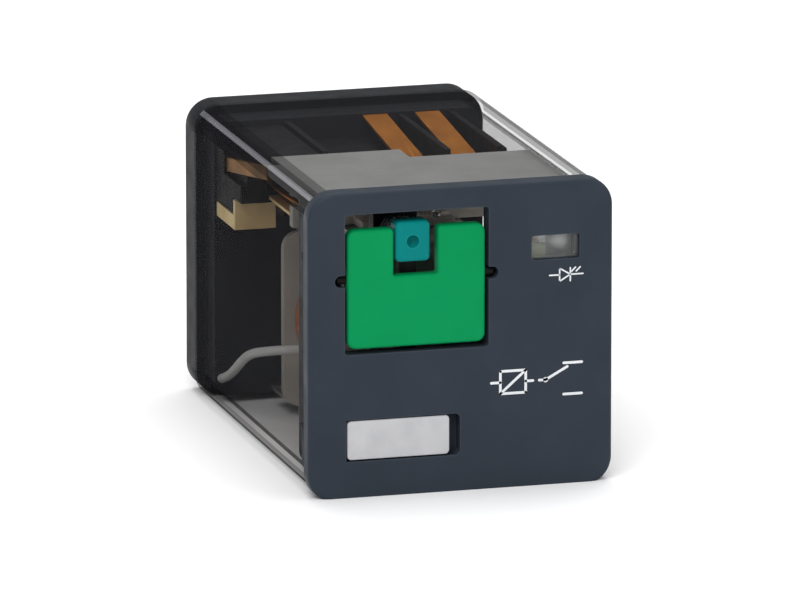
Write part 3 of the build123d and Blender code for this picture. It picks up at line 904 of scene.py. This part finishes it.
@dataclass
class CoverShell(Group):
    """Smoked clear cover: a square tube with round corners and snap windows.

    A face that leans both ways by more than shade_lean belongs to a corner, which gets a darker
    material as painted shade for the light that crosses more plastic there, and one past
    highlight_lean gets a pale material as a painted highlight along the corner's middle. Both
    compare with the smaller of its normal's two parts.
    """

    wall: float = 1.2 * MM
    corner: float = 3.0 * MM
    window_z: tuple[float, float] = (9.6 * MM, 14.4 * MM)
    window_y: tuple[float, float] = (-52.2 * MM, -50.4 * MM)
    windows_to: float = -44.0 * MM
    arc_steps: int = 14
    shade_lean: float = 0.1
    highlight_lean: float = 0.66

    def ring(self, half: float, radius: float) -> Array:
        """Section of the tube with extra points at the windows' edges.

        Each corner is a quarter circle about a point one radius inside the square; the
        two upright sides also hold the heights of the windows' edges.

        Args:
            half: half the section's width.
            radius: corner radius.

        Returns:
            Points in X and Z, anticlockwise from the lower right.
        """
        angle = np.linspace(0, math.pi / 2, self.arc_steps + 1)
        heights = np.array([-self.window_z[1], -self.window_z[0], 0, self.window_z[0],
                            self.window_z[1]])
        pieces = []
        for turn, (sx, sz) in enumerate([(1, -1), (1, 1), (-1, 1), (-1, -1)]):
            start = angle + (turn - 1) * math.pi / 2
            centre = np.array([sx, sz]) * (half - radius)
            pieces.append(centre + radius * np.stack([np.cos(start), np.sin(start)], axis=1))
            if turn == 0:
                pieces.append(np.stack([np.full(len(heights), half), heights], axis=1))
            if turn == 2:
                pieces.append(np.stack([np.full(len(heights), -half), heights[::-1]], axis=1))
        return np.vstack(pieces)

    def shell(self) -> Part:
        """Closed wall between an outer and an inner skin, less the windows.

        Returns:
            Vertices and faces.
        """
        low, high = box_of("cover")
        half = (high[0] - low[0]) / 2
        outer = self.ring(half, self.corner)
        inner = self.ring(half - self.wall, self.corner - self.wall)
        levels = np.concatenate([[low[1]], self.window_y,
                                 np.linspace(self.windows_to, high[1], 9)])
        count, rows = len(outer), len(levels)
        skins = [np.concatenate([np.broadcast_to(s[None, :, :1], (rows, count, 1)),
                                 np.broadcast_to(levels[:, None, None], (rows, count, 1)),
                                 np.broadcast_to(s[None, :, 1:], (rows, count, 1))], axis=2)
                 for s in (outer, inner)]
        middle = np.abs(outer + np.roll(outer, -1, axis=0)) / 2
        in_z = (middle[:, 1] > self.window_z[0]) & (middle[:, 1] < self.window_z[1])
        on_side = middle[:, 0] > half - 1e-6
        open_cell = np.zeros((rows - 1, count), bool)
        open_cell[1] = in_z & on_side
        row, column = np.nonzero(~open_cell)
        nxt = (column + 1) % count
        quads = np.stack([row * count + column, row * count + nxt,
                          (row + 1) * count + nxt, (row + 1) * count + column], axis=1)
        shift = rows * count
        faces = quads.tolist() + (quads[:, ::-1] + shift).tolist()
        faces += self.rims(open_cell, count, shift)
        return np.vstack([s.reshape(-1, 3) for s in skins]), faces

    def rims(self, open_cell: Array, count: int, shift: int) -> list:
        """Quads that join the two skins at the tube's ends and round the windows.

        Args:
            open_cell: which cells of the grid are open.
            count: vertices in a ring.
            shift: number of the inner skin's first vertex.

        Returns:
            Lists of four vertex numbers.
        """
        cell = ~open_cell
        solid = np.pad(cell, ((1, 1), (0, 0)))
        row, column = np.nonzero(solid[1:] != solid[:-1])
        nxt = (column + 1) % count
        across = np.stack([row * count + column, row * count + nxt,
                           row * count + nxt + shift, row * count + column + shift], axis=1)
        row, column = np.nonzero(cell != np.roll(cell, 1, axis=1))
        along = np.stack([row * count + column, (row + 1) * count + column,
                          (row + 1) * count + column + shift,
                          row * count + column + shift], axis=1)
        return across.tolist() + along.tolist()

    def build(self) -> None:
        """Build and dress the cover."""
        cover = make_piece("smoked_cover_shell", [self.shell()], Finish.COVER_PC, "housing",
                           ("cover",))
        # Second material: the painted highlight along the corners' middle.
        cover.data.materials.append(Finish.COVER_HIGHLIGHT_PC.material())
        # Third material: painted shade on the rest of the corners.
        cover.data.materials.append(Finish.COVER_SHADE_PC.material())
        normals = np.empty(len(cover.data.polygons) * 3)
        cover.data.polygons.foreach_get("normal", normals)
        lean = np.abs(normals.reshape(-1, 3))
        diagonal = np.minimum(lean[:, 0], lean[:, 2])
        # Index 1 is the painted highlight, index 2 the painted shade.
        index = np.where(diagonal > self.highlight_lean, 1, np.where(diagonal > self.shade_lean, 2, 0))
        cover.data.polygons.foreach_set("material_index", index.astype(np.int32))
        soften(cover, 0.15, 3, 50)


@dataclass
class Pictogram:
    """Flat printed strokes on a plane that faces the front."""

    plane_y: float
    stroke: float
    thickness: float = 0.02 * MM
    sunk: float = 0.01 * MM
    parts: list[Part] = field(default_factory=list)

    def lay(self, points: Array, normals: Array) -> None:
        """Add one flat shape.

        Args:
            points: its outline in X and Z.
            normals: outward normals of the outline.
        """
        profile = np.array([[0.0, self.plane_y - self.thickness], [0.0, self.plane_y + self.sunk]])
        self.parts.append(lofted((points, normals), profile))

    def line(self, start: tuple[float, float], stop: tuple[float, float]) -> None:
        """Add one straight stroke with round ends.

        Args:
            start: x and z of one end.
            stop: x and z of the other end.
        """
        a, b = np.array(start), np.array(stop)
        along = (b - a) / np.linalg.norm(b - a)
        turn = math.atan2(along[1], along[0])
        half = np.linspace(-math.pi / 2, math.pi / 2, 7)
        far = np.stack([np.cos(half + turn), np.sin(half + turn)], axis=1)
        points = np.vstack([b + far * self.stroke / 2, a - far * self.stroke / 2])
        self.lay(points, np.vstack([far, -far]))

    def loop(self, points: list[tuple[float, float]]) -> None:
        """Add a closed run of strokes.

        Args:
            points: x and z of each corner.
        """
        for start, stop in zip(points, points[1:] + points[:1]):
            self.line(start, stop)

    def dot(self, centre: tuple[float, float], radius: float) -> None:
        """Add a round dot.

        Args:
            centre: its x and z.
            radius: its radius.
        """
        angle = np.arange(24) / 24 * 2 * math.pi
        normals = np.stack([np.cos(angle), np.sin(angle)], axis=1)
        self.lay(np.array(centre) + normals * radius, normals)


@dataclass
class FrontPanel(Group):
    """Front plate with its lens and two printed symbols.

    The fractions in the symbols are shares of their width and height.
    """

    symbol_x: tuple[float, float] = (3.5 * MM, 14.1 * MM)
    symbol_z: tuple[float, float] = (-7.3 * MM, -3.0 * MM)
    lamp_x: tuple[float, float] = (10.3 * MM, 14.2 * MM)
    lamp_z: tuple[float, float] = (6.1 * MM, 7.6 * MM)
    symbol_stroke: float = 0.30 * MM
    lamp_stroke: float = 0.17 * MM

    def make_contact_symbol(self, plane_y: float) -> None:
        """Print a coil and a changeover contact, as circuit diagrams draw them.

        Args:
            plane_y: y of the plate's face.
        """
        mark = Pictogram(plane_y, self.symbol_stroke)
        (x0, x1), (z0, z1) = self.symbol_x, self.symbol_z
        width, height, mid = x1 - x0, z1 - z0, (z0 + z1) / 2
        a, b = x0 + 0.10 * width, x0 + 0.38 * width
        mark.loop([(a, mid - 0.30 * height), (b, mid - 0.30 * height),
                   (b, mid + 0.30 * height), (a, mid + 0.30 * height)])
        mark.line((a, mid - 0.30 * height), (b, mid + 0.30 * height))
        mark.line((x0, mid), (a, mid))
        mark.line((b, mid), (x0 + 0.46 * width, mid))
        pivot, tip = (x0 + 0.60 * width, mid), (x0 + 0.84 * width, mid + 0.32 * height)
        mark.line((x0 + 0.53 * width, mid), pivot)
        mark.line(pivot, tip)
        for sign in (-1, 1):
            level = mid + sign * 0.42 * height
            mark.line((x0 + 0.80 * width, level), (x1, level))
        mark.dot(pivot, self.symbol_stroke)
        make_piece("print_contact_symbol", mark.parts, Finish.INK, "housing")

    def make_lamp_symbol(self, plane_y: float) -> None:
        """Print a light-emitting diode symbol under the window.

        Args:
            plane_y: y of the plate's face.
        """
        mark = Pictogram(plane_y, self.lamp_stroke)
        (x0, x1), (z0, z1) = self.lamp_x, self.lamp_z
        width, mid = x1 - x0, (z0 + z1) / 2
        a, b = x0 + 0.30 * width, x0 + 0.62 * width
        mark.line((x0, mid), (a, mid))
        mark.loop([(a, z0), (b, mid), (a, z1)])
        mark.line((b, z0), (b, z1))
        mark.line((b, mid), (x1, mid))
        for shift in (0.0, 0.14):
            start = np.array([x0 + (0.66 + shift) * width, z1 - 0.28 * (z1 - z0)])
            mark.line(tuple(start), tuple(start + 0.45 * MM))
        make_piece("print_lamp_symbol", mark.parts, Finish.INK, "housing")

    def build(self) -> None:
        """Build and dress the front panel."""
        self.dress("front_plate", Finish.FRONT_PBT, 0.16)
        self.dress("window_lens", Finish.LENS_PC, 0.08)
        face = box_of("front_plate")[0][1]
        self.make_contact_symbol(face)
        self.make_lamp_symbol(face)


@dataclass
class DoorAndButton(Group):
    """Green lock-down door on hinge pins painted black as shade, blue-green test button and its
    spring.
    """

    door_corner: float = 1.0 * MM
    door_edge: float = 0.42 * MM
    notch_x: tuple[float, float] = (-7.8 * MM, -2.7 * MM)
    notch_z: float = 7.85 * MM
    trunnion: float = 0.5 * MM
    door_x: tuple[float, float] = (-13.2 * MM, 2.85 * MM)
    axis_y: float = -54.9 * MM
    axis_z: float = 7.6 * MM
    button_x: float = -5.6 * MM
    button_z: float = 11.7 * MM
    head_z: tuple[float, float] = (9.4 * MM, 14.0 * MM)
    head_back: float = -53.7 * MM
    dimple: float = 0.72 * MM
    dimple_depth: float = 0.9 * MM
    leg_half: float = 1.0 * MM
    leg_edge: float = 0.3 * MM
    stem_radius: float = 1.1 * MM
    stem_end: float = -46.2 * MM
    spring_wire: float = 0.34 * MM
    spring_turns: float = 5.5
    stroke: float = 1.6 * MM

    def make_door(self) -> None:
        """Build the notched door with its trunnions."""
        low, high = box_of("lock_door")
        x, z = self.door_x, (low[2], high[2])
        corners = np.array([(x[0], z[0]), (x[1], z[0]), (x[1], z[1]), (self.notch_x[1], z[1]),
                            (self.notch_x[1], self.notch_z), (self.notch_x[0], self.notch_z),
                            (self.notch_x[0], z[1]), (x[0], z[1])])
        big, small = self.door_corner, self.door_edge + 0.08 * MM
        radii = np.array([big, big, big, small, 0.25 * MM, 0.25 * MM, small, big])
        outline = corner_outline(corners, radii, 8)
        slab = lofted(outline, edge_profile(low[1], high[1], self.door_edge, 6, 0.1 * MM))
        make_piece("green_lock_door", [slab], Finish.DOOR_POM, "lock_door",
                   ("lock_door",), 50)
        # The trunnions get the black inner finish as painted shade, so that they read as the dark
        # of their pockets.
        pins = []
        for start, stop in ((low[0] + 0.1 * MM, x[0] + 0.6 * MM),
                            (x[1] - 0.6 * MM, high[0] - 0.1 * MM)):
            rod = rounded_rod(self.trunnion, start, stop, 0.12 * MM)
            pins.append(turned_solid(rod, np.array([0, self.axis_y, self.axis_z]), "X", 28))
        make_piece("door_hinge_pins_painted_shade", pins, Finish.INSIDE_PBT, "lock_door")

    def button_head(self) -> Part:
        """Button head: rounded slab whose face sinks into a round dimple.

        The face is a loft from the slab's rim to a circle, then a quarter-round bowl.

        Returns:
            Vertices and faces.
        """
        low = box_of("test_button")[0]
        x = (low[0], 2 * self.button_x - low[0])
        outline, normals = corner_outline(rectangle(x, self.head_z), np.full(4, 0.55 * MM), 8)
        profile = edge_profile(low[1], self.head_back, 0.4 * MM, 5)
        flat = outline[None] - normals[None] * profile[:, 0][:, None, None]
        depth = np.broadcast_to(profile[:, 1][:, None], flat.shape[:2])
        sides = np.stack([flat[..., 0], depth, flat[..., 1]], axis=2)[::-1]
        centre = np.array([self.button_x, self.button_z])
        away = outline[0] - centre
        angle = np.arctan2(away[1], away[0]) + np.linspace(0, 2 * math.pi, len(outline), False)
        circle = np.stack([np.cos(angle), np.sin(angle)], axis=1)
        sweep = np.linspace(0, math.pi / 2, 6)
        radii = self.dimple * np.concatenate([[1.25], 1.12 - 0.12 * np.sin(sweep[:3]),
                                              np.cos(sweep[1:]) * 0.98 + 0.02])
        drop = self.dimple_depth * np.concatenate([[0.0], 0.05 * (1 - np.cos(sweep[:3])),
                                                   0.1 + 0.9 * np.sin(sweep[1:])])
        bowl = centre + circle[None] * radii[:, None, None]
        bowl_y = np.broadcast_to((low[1] + drop)[:, None], bowl.shape[:2])
        rings = np.concatenate([sides, np.stack([bowl[..., 0], bowl_y, bowl[..., 1]], axis=2)])
        return rings.reshape(-1, 3), capped_faces(len(rings), len(outline))

    def make_button(self) -> None:
        """Build the teal button with its guide stem, and the drop leg with its rod in black as
        painted shade under the button.
        """
        low, high = box_of("test_button")
        x = (self.button_x - self.leg_half, self.button_x + self.leg_half)
        leg_back = self.head_back + 1.2 * MM
        overlap = 0.2 * MM
        radii = np.full(4, self.leg_edge)
        leg = lofted(corner_outline(rectangle(x, (low[2], self.head_z[1] - 0.3 * MM)), radii, 4),
                     edge_profile(self.head_back - 0.02 * MM, leg_back, 0.1 * MM, 2, 0.15 * MM))
        rod = lofted(corner_outline(rectangle(x, (low[2], low[2] + 2.0 * MM)), radii, 4),
                     edge_profile(leg_back - overlap, high[1], 0.05 * MM, 2, self.leg_edge))
        centre = np.array([self.button_x, 0, self.button_z])
        side = rounded_rod(self.stem_radius, leg_back - overlap, self.stem_end, 0.25 * MM)
        stem = turned_solid(side, centre, "Y", 32)
        make_piece("teal_test_button", [self.button_head(), stem], Finish.BUTTON_POM,
                   "test_button", ("test_button",), 40)
        # The leg and rod get the black inner finish as painted shade, the dark gap in the notch
        # under the button.
        make_piece("button_drop_leg_painted_shade", [leg, rod], Finish.INSIDE_PBT, "test_button",
                   (), 40)

    def make_spring(self) -> None:
        """Build the button's return spring, which shortens with the stroke."""
        low, high = box_of("button_spring")
        centre, wire = (low + high) / 2, self.spring_wire
        radius = (high[0] - low[0]) / 2 - wire / 2
        path = coil_path(centre, radius, low[1], high[1], self.spring_turns, wire)
        spring = make_piece("button_return_spring", [tube(path, wire / 2, 10)], Finish.SPRING,
                            "housing", ("button_spring",))
        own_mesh(spring)

    def build(self) -> None:
        """Build and dress the door and the button."""
        self.make_door()
        self.make_button()
        self.make_spring()


@dataclass
class LegendTag(Group):
    """White legend card in its recess, with two pegs behind."""

    corner: float = 0.5 * MM
    thickness: float = 0.8 * MM
    peg_x: tuple[float, float] = (-11.0 * MM, -3.6 * MM)
    peg_radius: float = 0.6 * MM

    def build(self) -> None:
        """Build and dress the tag."""
        low, high = box_of("legend_tag")
        outline = corner_outline(rectangle((low[0], high[0]), (low[2], high[2])),
                                 np.full(4, self.corner), 8)
        card = lofted(outline, edge_profile(low[1], low[1] + self.thickness, 0.14 * MM, 4,
                                            0.08 * MM))
        peg = rounded_rod(self.peg_radius, low[1] + self.thickness - 0.1 * MM, high[1], 0.15 * MM)
        pegs = [turned_solid(peg, np.array([x, 0, (low[2] + high[2]) / 2]), "Y", 24)
                for x in self.peg_x]
        make_piece("white_legend_tag", [card, *pegs], Finish.CARD, "legend_tag",
                   ("legend_tag",))


@dataclass
class Magnet(Group):
    """Coil, core, yoke and armature with its return spring.

    The wire is drawn thicker than a real one of about 0.1 mm, so that its turns show.
    """

    wire_pitch: float = 0.24 * MM
    layer_sag: float = 0.25 * MM
    sag_reach: float = 0.8 * MM
    lap_step: float = 0.06 * MM
    lap_from: float = 2.2
    lap_to: float = 3.0
    spring_wire: float = 0.3 * MM
    spring_turns: float = 3.0
    spring_keep: float = 0.28
    rivet_radius: float = 0.8 * MM
    rivet_x: tuple[float, float] = (-3.5 * MM, 3.5 * MM)
    rivet_y: float = -33.0 * MM

    def winding(self) -> Part:
        """Barrel of wire turns.

        The radius is the barrel's, less a sag that fades away from the flanges, plus a
        ripple that runs round as a helix: half a wire times the absolute sine of pi times
        y over the pitch, less half the angle.

        Returns:
            Vertices and faces.
        """
        low, high = box_of("coil_winding")
        centre = (low + high) / 2
        radius = (high[0] - low[0]) / 2 - self.wire_pitch / 2
        turns = int((high[1] - low[1]) / self.wire_pitch)
        rows, sides = turns * 6 + 1, 96
        y = np.linspace(low[1], high[1], rows)[:, None]
        angle = (np.arange(sides) / sides * 2 * math.pi)[None]
        phase = (y - low[1]) / self.wire_pitch * math.pi - angle / 2
        ends = np.minimum(y - low[1], high[1] - y)
        sag = self.layer_sag * np.exp(-ends / self.sag_reach)
        outer = radius - sag + self.wire_pitch / 2 * np.abs(np.sin(phase))
        rings = np.stack([centre[0] + outer * np.cos(angle), np.broadcast_to(y, outer.shape),
                          centre[2] + outer * np.sin(angle)], axis=2)
        return rings.reshape(-1, 3), capped_faces(rows, sides)

    def tape(self) -> Part:
        """Band of tape: a thin ring whose radius steps up where its end laps over.

        The step is one tape's thickness times the difference of two steep logistic curves
        of the angle, from lap_from to lap_to in radians.

        Returns:
            Vertices and faces.
        """
        low, high = box_of("coil_tape")
        centre = (low + high) / 2
        radius = (high[0] - low[0]) / 2
        sides = 160
        angle = np.arange(sides) / sides * 2 * math.pi
        up, down = (1 / (1 + np.exp(-(angle - place) / 0.01))
                    for place in (self.lap_from, self.lap_to))
        lap = self.lap_step * (up - down)
        section = np.array([[0.0, low[1] + 0.05 * MM], [0.05 * MM, low[1]],
                            [0.05 * MM, high[1]], [0.0, high[1] - 0.05 * MM]])
        inner = np.array([[-0.2 * MM, high[1]], [-0.2 * MM, low[1]]])
        profile = np.vstack([section, inner, section[:1]])
        outer = radius - 0.11 * MM + profile[:, 0][:, None] + lap[None] * (
            profile[:, 0][:, None] > -0.1 * MM)
        rings = np.stack([centre[0] + outer * np.cos(angle)[None],
                          np.broadcast_to(profile[:, 1][:, None], outer.shape),
                          centre[2] + outer * np.sin(angle)[None]], axis=2)
        return rings.reshape(-1, 3), grid_faces(len(profile), sides)

    def make_leads(self) -> None:
        """Build the coil's leads: a short one at a tab, a long one that rises to the winding."""
        short = np.array([(9.2, -14.5, -14.2), (9.2, -13.3, -14.2), (9.2, -12.0, -14.1),
                          (9.2, -10.6, -13.2), (9.2, -9.4, -12.6)]) * MM
        rise = np.array([(-15.4, -9.3, -14.2), (-15.4, -13.0, -13.0), (-15.3, -16.8, -10.8),
                         (-15.2, -20.4, -8.7), (-13.6, -21.9, -8.2), (-11.6, -23.0, -7.9),
                         (-10.0, -24.0, -7.7)]) * MM
        parts = [tube(smooth_path(line, count), radius * MM, 16)
                 for line, count, radius in ((short, 40, 0.5), (rise, 90, 0.55))]
        make_piece("coil_lead_pair", parts, Finish.PVC, "housing",
                   ("coil_leads",))

    def make_spring(self) -> None:
        """Build the armature's return spring, which shortens as the armature closes."""
        low, high = box_of("armature_spring")
        centre, wire = (low + high) / 2, self.spring_wire
        radius = (high[0] - low[0]) / 2 - wire / 2
        path = coil_path(centre, radius, low[1], high[1], self.spring_turns, wire)
        spring = make_piece("armature_return_spring", [tube(path, wire / 2, 10)], Finish.SPRING,
                            "housing", ("armature_spring",))
        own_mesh(spring)

    def make_rivets(self) -> None:
        """Build the domed rivet heads that hold the lifter card."""
        low, high = box_of("armature_rivets")
        angle = np.linspace(0, math.pi / 2, 7)
        dome = np.stack([self.rivet_radius * np.cos(angle),
                         low[2] + (high[2] - low[2]) * np.sin(angle)], axis=1)
        dome[-1, 0] = 0.05 * MM
        parts = [turned_solid(dome, np.array([x, self.rivet_y, 0]), "Z", 28)
                 for x in self.rivet_x]
        make_piece("armature_rivet_heads", parts, Finish.SPRING, "armature",
                   ("armature_rivets",))

    def build(self) -> None:
        """Build and dress the magnet system."""
        for node, width in (("yoke", 0.25), ("core", 0.2), ("armature", 0.2)):
            self.dress(node, Finish.IRON, width)
        self.dress("bobbin", Finish.BOBBIN_PA, 0.15)
        self.dress("lifter_card", Finish.BOBBIN_PA, 0.12)
        self.dress("coil_terminals", Finish.TINNED, 0.08)
        make_piece("copper_winding", [self.winding()], Finish.COPPER, "housing",
                   ("coil_winding",), 70)
        make_piece("winding_tape", [self.tape()], Finish.TAPE, "housing",
                   ("coil_tape",))
        self.make_leads()
        self.make_spring()
        self.make_rivets()


@dataclass
class Contacts(Group):
    """Contact strips, moving blades, silver rivets, block, shield and straps."""

    poles: tuple[float, ...] = (-11.0 * MM, 3.1 * MM, 9.4 * MM)
    rivet_y: float = -27.0 * MM
    head: float = 1.0 * MM
    rim_share: float = 0.35
    dome_height: float = 0.55 * MM
    blade_half: float = 0.13 * MM

    def dome(self, x: float, base: float, top: float) -> Part:
        """Domed contact head along Z.

        A straight rim carries a crown whose height goes as the sine of an angle and whose
        radius as its cosine to the power 0.6, which is fuller than an ellipse.

        Args:
            x: its place along X.
            base: z of its seat.
            top: z of its crown.

        Returns:
            Vertices and faces.
        """
        angle = np.linspace(0.0, math.pi / 2, 8)
        rim = base + self.rim_share * (top - base)
        profile = np.stack([self.head * np.cos(angle) ** 0.6,
                            rim + (top - rim) * np.sin(angle)], 1)
        profile[-1, 0] = 0.04 * MM
        profile = np.vstack([[[self.head, base]], profile])
        return turned_solid(profile, np.array([x, self.rivet_y, 0]), "Z", 32)

    def build(self) -> None:
        """Build and dress the contact system."""
        for number in range(1, len(self.poles) + 1):
            self.dress(f"no_strip_{number}", Finish.BRONZE, 0.06)
            self.dress(f"moving_blade_{number}", Finish.BRONZE, 0.05)
            self.dress(f"nc_strip_{number}", Finish.BRASS, 0.06)
        for strap in ("common_strap_left", "common_strap_right", "common_strap_centre"):
            self.dress(strap, Finish.BRASS, 0.1)
        self.dress("feed_strap_left", Finish.DULL_BRASS, 0.08)
        for node in ("contact_block", "arc_shield"):
            self.dress(node, Finish.INSIDE_PBT, 0.12)
        self.dress("no_rivets", Finish.SILVER, 0.1)
        crown = box_of("nc_rivets")[1][2]
        parts = [self.dome(x, crown - self.dome_height, crown) for x in self.poles]
        make_piece("nc_contact_domes", parts, Finish.SILVER, "housing",
                   ("nc_rivets",))
        low, high = box_of("blade_rivets")
        middle = (low[2] + high[2]) / 2
        parts = [self.dome(x, middle + s * self.blade_half, middle + s * (high[2] - middle))
                 for x in self.poles for s in (-1, 1)]
        make_piece("blade_contact_domes", parts, Finish.SILVER, "contact_blades",
                   ("blade_rivets",))


@dataclass
class Indicator(Group):
    """Status flag and lamp board with its lead."""

    lead_radius: float = 0.6 * MM
    nose: float = 1.25 * MM
    resistor_z: tuple[float, float] = (3.6 * MM, 7.2 * MM)
    band_shares: tuple[float, ...] = (0.3, 0.45, 0.6)
    band_width: float = 0.3 * MM
    diode_z: tuple[float, float] = (4.0 * MM, 6.6 * MM)

    def make_lead(self) -> None:
        """Build the light lead that runs along the right wall to the board."""
        points = np.array([(15.2, -9.05, -13.6), (15.2, -20.0, -13.4), (15.2, -31.0, -10.8),
                           (14.4, -36.7, -7.2), (13.6, -42.5, -3.5), (13.5, -48.4, 2.6)]) * MM
        make_piece("lamp_lead", [tube(smooth_path(points, 200), self.lead_radius, 16)],
                   Finish.PVC, "housing", ("indicator_lead",))

    def make_led(self) -> None:
        """Build the round-nosed lamp with its collar."""
        low, high = box_of("indicator_led")
        centre = (low + high) / 2
        collar, nose = (high[0] - low[0]) / 2, self.nose
        angle = np.linspace(0, math.pi / 2, 10)
        cap = np.stack([nose * np.sin(angle), low[1] + nose * (1 - np.cos(angle))], axis=1)
        cap[0, 0] = 0.05 * MM
        rear = np.array([[nose, high[1] - 0.7 * MM], [collar, high[1] - 0.65 * MM],
                         [collar, high[1]]])
        part = turned_solid(np.vstack([cap, rear]), centre * np.array([1, 0, 1]), "Y", 40)
        make_piece("lamp_bulb", [part], Finish.EPOXY, "housing", ("indicator_led",))

    def make_resistor(self) -> None:
        """Build the dog-bone resistor, its bent legs and its colour bands.

        The body's radius is a constant plus two bell curves, one near each end, and falls
        as a quarter ellipse over the last tenth of its length.
        """
        low, high = box_of("indicator_resistor")
        x, y = (low[0] + high[0]) / 2, low[1] + 0.8 * MM
        start, stop = self.resistor_z
        z = np.linspace(start, stop, 40)
        share = (z - start) / (stop - start)
        bells = np.exp(-((share - 0.14) / 0.11) ** 2) + np.exp(-((share - 0.86) / 0.11) ** 2)
        near_end = np.clip(np.abs(share - 0.5) - 0.4, 0, 0.1) / 0.1
        caps = np.sqrt(np.clip(1 - near_end ** 2, 0.02, 1))
        radius = (0.58 + 0.2 * bells) * caps * MM
        centre = np.array([x, y, 0])
        body = turned_solid(np.stack([radius, z], axis=1), centre, "Z", 28)
        make_piece("resistor_body", [body], Finish.LACQUER, "housing",
                   ("indicator_resistor",))
        legs = []
        for foot, inner in ((3.0 * MM, 3.8 * MM), (7.8 * MM, 7.0 * MM)):
            points = np.array([(x, high[1], foot), (x, y + 0.3 * MM, foot), (x, y, foot),
                               (x, y, (foot + inner) / 2), (x, y, inner)])
            legs.append(tube(smooth_path(points, 24), 0.24 * MM, 12))
        make_piece("resistor_legs", legs, Finish.TINNED, "housing")
        for number, place in enumerate(self.band_shares):
            z0 = start + place * (stop - start)
            band = np.array([[0.615 * MM, z0], [0.615 * MM, z0 + self.band_width]])
            finish = Finish.BAND_RED if number < 2 else Finish.BAND_GREY
            make_piece(f"resistor_band_{number + 1}", [turned_solid(band, centre, "Z", 28)],
                       finish, "housing")

    def make_diode(self) -> None:
        """Build the diode with its leads and cathode band."""
        low, high = box_of("indicator_diode")
        centre = (low + high) / 2 * np.array([1, 1, 0])
        start, stop = self.diode_z
        body = rounded_rod(0.6 * MM, start, stop, 0.15 * MM)
        make_piece("diode_body", [turned_solid(body, centre, "Z", 28)], Finish.GLASSY_BLACK,
                   "housing", ("indicator_diode",))
        leads = [turned_solid(rounded_rod(0.2 * MM, a, b, 0.05 * MM), centre, "Z", 16)
                 for a, b in ((low[2], start + 0.1 * MM), (stop - 0.1 * MM, high[2]))]
        make_piece("diode_leads", leads, Finish.TINNED, "housing")
        band = np.array([[0.612 * MM, 5.9 * MM], [0.612 * MM, 6.25 * MM]])
        make_piece("diode_band", [turned_solid(band, centre, "Z", 28)], Finish.BAND_GREY,
                   "housing")

    def build(self) -> None:
        """Build and dress the indicator."""
        self.dress("indicator_board", Finish.MASK, 0.05)
        self.dress("flag", Finish.FLAG_PC, 0.08)
        self.make_lead()
        self.make_led()
        self.make_resistor()
        self.make_diode()


@dataclass
class Studio(Group):
    """Pale floor, soft lamps and the camera."""

    room_light: float = 0.4
    table_half: float = 3.0
    camera_at: tuple[float, float, float] = (-0.32333, -1.17067, 0.27621)
    azimuth: float = -15.836
    elevation: float = 13.168
    lens: float = 478.9

    def make_floor(self) -> None:
        """Build a pale table top: a flat grid just under the relay."""
        level = float(box_of("base")[0][2]) - 0.02 * MM
        count = 7
        run = np.linspace(-self.table_half, self.table_half, count)
        grid = np.stack([*np.meshgrid(run, run), np.full((count, count), level)], axis=2)
        mesh = bpy.data.meshes.new("studio_table")
        mesh.from_pydata(grid.reshape(-1, 3).tolist(), [], grid_faces(count, count, False))
        material, tree = new_material("pale_paper_table")
        shade = ranged(tree, object_noise(tree, 300.0, 2.0), 0.0, 1.0)
        colour = blended(tree, shade, "#fbfbfb", "#f9f9fa")
        finish_tree(tree, {"Roughness": 0.9, "Specular IOR Level": 0.1}, {"Base Color": colour})
        mesh.materials.append(material)
        floor = bpy.data.objects.new("studio_table", mesh)
        bpy.context.scene.collection.objects.link(floor)

    def make_lamp(self, name: str, place: tuple[float, float, float], size: float,
                  power: float) -> None:
        """Add a soft square lamp aimed at the relay.

        Args:
            name: its name.
            place: where it stands.
            size: side of the lamp.
            power: watts.
        """
        lamp = bpy.data.lights.new(name, "AREA")
        lamp.shape = "SQUARE"
        lamp.size = size
        lamp.energy = power
        holder = bpy.data.objects.new(name, lamp)
        holder.location = place
        aim = Vector((0, -0.028, 0)) - Vector(place)
        holder.rotation_euler = aim.to_track_quat("-Z", "Y").to_euler()
        bpy.context.scene.collection.objects.link(holder)

    def make_camera(self) -> None:
        """Stand the camera where it looks along the chosen azimuth and elevation."""
        camera = bpy.data.cameras.new("camera")
        camera.lens = self.lens
        camera.sensor_width = 36.0
        camera.clip_start, camera.clip_end = 0.05, 50.0
        holder = bpy.data.objects.new("camera", camera)
        turn, lift = math.radians(self.azimuth), math.radians(self.elevation)
        back = Vector((math.sin(turn) * math.cos(lift), -math.cos(turn) * math.cos(lift),
                       math.sin(lift)))
        holder.location = self.camera_at
        holder.rotation_euler = (-back).to_track_quat("-Z", "Y").to_euler()
        bpy.context.scene.collection.objects.link(holder)
        bpy.context.scene.camera = holder

    def build(self) -> None:
        """Build the floor, the world, the lamps and the camera."""
        self.make_floor()
        world = bpy.data.worlds.new("soft_room")
        world.use_nodes = True
        shade = world.node_tree.nodes["Background"]
        shade.inputs["Color"].default_value = (1.0, 1.0, 1.0, 1.0)
        shade.inputs["Strength"].default_value = self.room_light
        bpy.context.scene.world = world
        self.make_lamp("key", (-0.5, -0.9, 1.1), 0.9, 13.0)
        self.make_lamp("fill", (0.9, -0.8, 0.5), 0.9, 3.0)
        self.make_lamp("top", (0.1, 0.3, 1.2), 0.8, 9.0)
        bpy.context.scene.view_settings.view_transform = "Standard"
        self.make_camera()


def main() -> None:
    """Build the relay's looks in order."""
    logging.basicConfig(level=logging.INFO, format="%(name)s %(message)s")
    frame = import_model()
    for group in (BaseAndPins, CoverShell, FrontPanel, DoorAndButton, LegendTag, Magnet, Contacts,
                  Indicator, Studio):
        LOG.info("group %s", group.__name__)
        group(frame).build()


if __name__ == "__main__":
    main()
